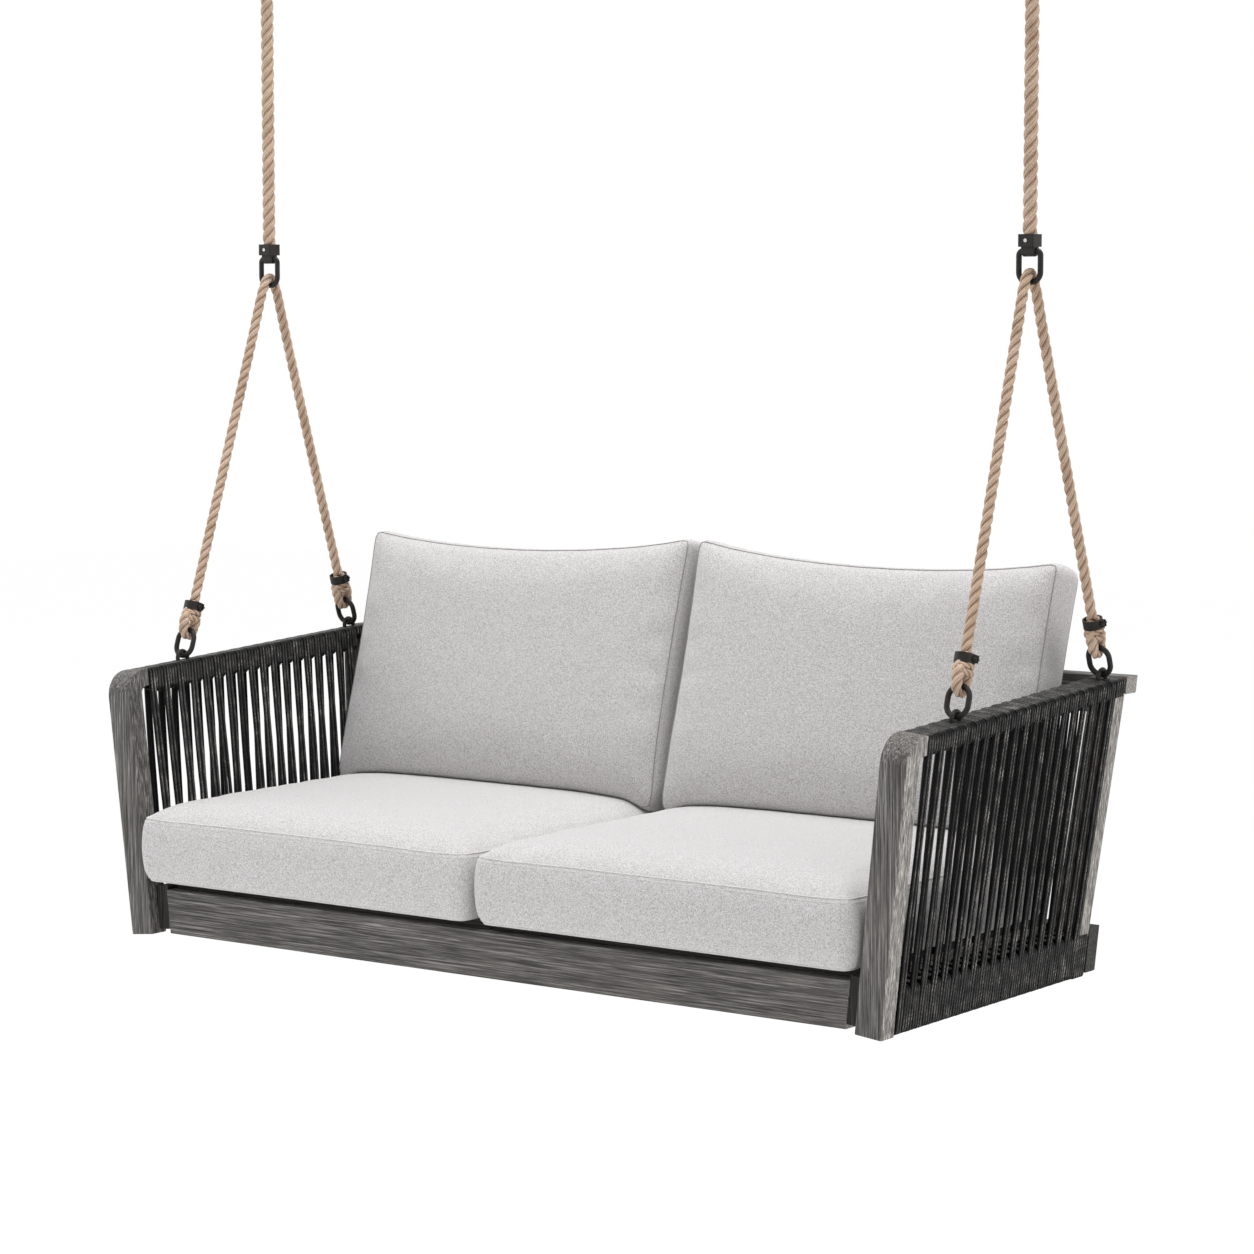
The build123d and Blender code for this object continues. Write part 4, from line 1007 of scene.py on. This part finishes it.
    def fit(self):
        """Back to the sewn width and length, after the air has moved the sides."""
        for axis in (0, 1):
            low, high = self.points[:, axis].min(), self.points[:, axis].max()
            self.points[:, axis] = (self.points[:, axis] - (low + high) / 2) * self.size[axis] / (high - low)

    def settle(self, tree, reach=0.10, rest=0.0007, most=0.022):
        """Let the bottom of a cushion that is in place sink on to what lies under it."""
        shift = np.zeros(len(self.points))
        for i in range(self.columns):
            drop = 0.0
            for loop in self.loops:
                x, y, z = self.points[loop[i]]
                hit = tree.ray_cast(Vector((x, y, z + 0.06)), Vector((0, 0, -1)))[0]
                if hit is not None:
                    drop = min(most, max(-most, z - hit.z - rest))
                shift[loop[i]] = -drop
            for j in range(1, int(reach / self.cell)):
                share = (1 - j * self.cell / reach) ** 2
                for sheet in (0, self.panel):
                    shift[self.at(i, j) + sheet] = share * shift[self.at(i, 0) + sheet]
        self.points[:, 2] += shift

    def place(self, matrix):
        self.points = np.array([matrix @ Vector(p) for p in self.points])

    def sew(self, name, depth=0.0010):
        """The finished piece: seams pulled in, softened once. Also returns lines for its seams and stitches."""
        pad = new_object(name, CLOTH, self.points, self.faces)
        normals = np.array([v.normal[:] for v in pad.data.vertices])
        for loop in (self.loops[0], self.loops[-1]):
            self.points[loop] -= normals[loop] * depth
        pad.data.vertices.foreach_set("co", self.points.ravel())
        soften = pad.modifiers.new("soften", "SUBSURF")
        soften.levels = soften.render_levels = 1
        mesh = final_mesh(pad)
        pad.modifiers.remove(soften)
        flat = pad.data
        pad.data = mesh
        bpy.data.meshes.remove(flat)
        mesh.name = name
        mesh.shade_smooth()
        bpy.context.view_layer.update()

        def beside(loop, toward, distance, lift):
            way = self.points[toward] - self.points[loop]
            way /= np.linalg.norm(way, axis=1)[:, None]
            line = []
            for point in self.points[loop] + way * distance:
                found, on, normal, _ = pad.closest_point_on_mesh(Vector(point))
                line.append(on + normal * lift if found else Vector(point))
            return line

        sewn = ((self.loops[0], self.loops[1]), (self.loops[-1], self.loops[-2]))
        seams = [beside(*pair, 0.0, 0.0004) for pair in sewn]
        return pad, seams, [beside(*pair, STITCH_INSET, 0.0002) for pair in sewn]


STITCH_ROWS = stitch_grower()
for side, hand in SIDES:
    width, depth, edge = SEAT_SIZE
    seat = Cushion((width - 0.002, depth - 0.002, edge), (0.0260, 0.0), (0.003, 0.002, 0.004, 0.002), 0.018, 9,
                   0.0075, 0.009)
    seat.inflate(range(seat.panel, 2 * seat.panel), 0.007)
    seat.fit()
    seat.place(Matrix.Translation((side * (CUSHION_GAP + width) / 2, SEAT_FRONT + depth / 2,
                                   FOOT_Z + SEAT_LOW + edge / 2)))
    seat_pad, seams, rows = seat.sew(f"seat_pad_{hand}")
    tie(seat_pad, "bench", f"seat_cushion_{hand}")
    seat_top = BVHTree.FromPolygons([v.co for v in seat_pad.data.vertices],
                                    [tuple(face.vertices) for face in seat_pad.data.polygons])

    width, height, edge = BACK_SIZE
    back = Cushion((width - 0.001, height, edge), (0.0180, 0.0080), (0.001, 0.003, 0.024, 0.003), 0.011, 6,
                   0.0055, droop=side * 0.0095)
    back.inflate([], 0.008)
    back.fit()
    up = Vector((0, math.sin(BACK_LEAN), math.cos(BACK_LEAN)))
    out = Vector((0, -math.cos(BACK_LEAN), math.sin(BACK_LEAN)))
    foot = Vector((side * (CUSHION_GAP + width) / 2, BACK_FOOT[0], FOOT_Z + BACK_FOOT[1]))
    middle = foot + up * (height / 2) - out * (edge / 2)
    back.place(Matrix(((1, 0, 0, middle.x), (0, up.y, out.y, middle.y), (0, up.z, out.z, middle.z), (0, 0, 0, 1))))
    back.settle(seat_top)
    back_pad, back_seams, back_rows = back.sew(f"back_pad_{hand}")
    tie(back_pad, "bench", f"back_cushion_{hand}")

    # The seat seams are paler as a painted highlight, the back seams darker as painted shade.
    for name, lines, thread in (("seat_seams", seams, THREAD), ("back_seams", back_seams, SHADED_BACK_SEAM)):
        piece = new_object(f"{name}_{hand}", thread, *joined([tube(line, SEAM_RADIUS, 6, True) for line in lines]))
        tie(piece, "bench")
    points, edges = [], []
    for row in rows + back_rows:
        first, count = len(points), len(row)
        points += row
        edges += [(first + k, first + (k + 1) % count) for k in range(count)]
    piece = STITCH_ROWS.grow(f"cushion_stitches_{hand}", points, edges)
    tie(piece, "bench")
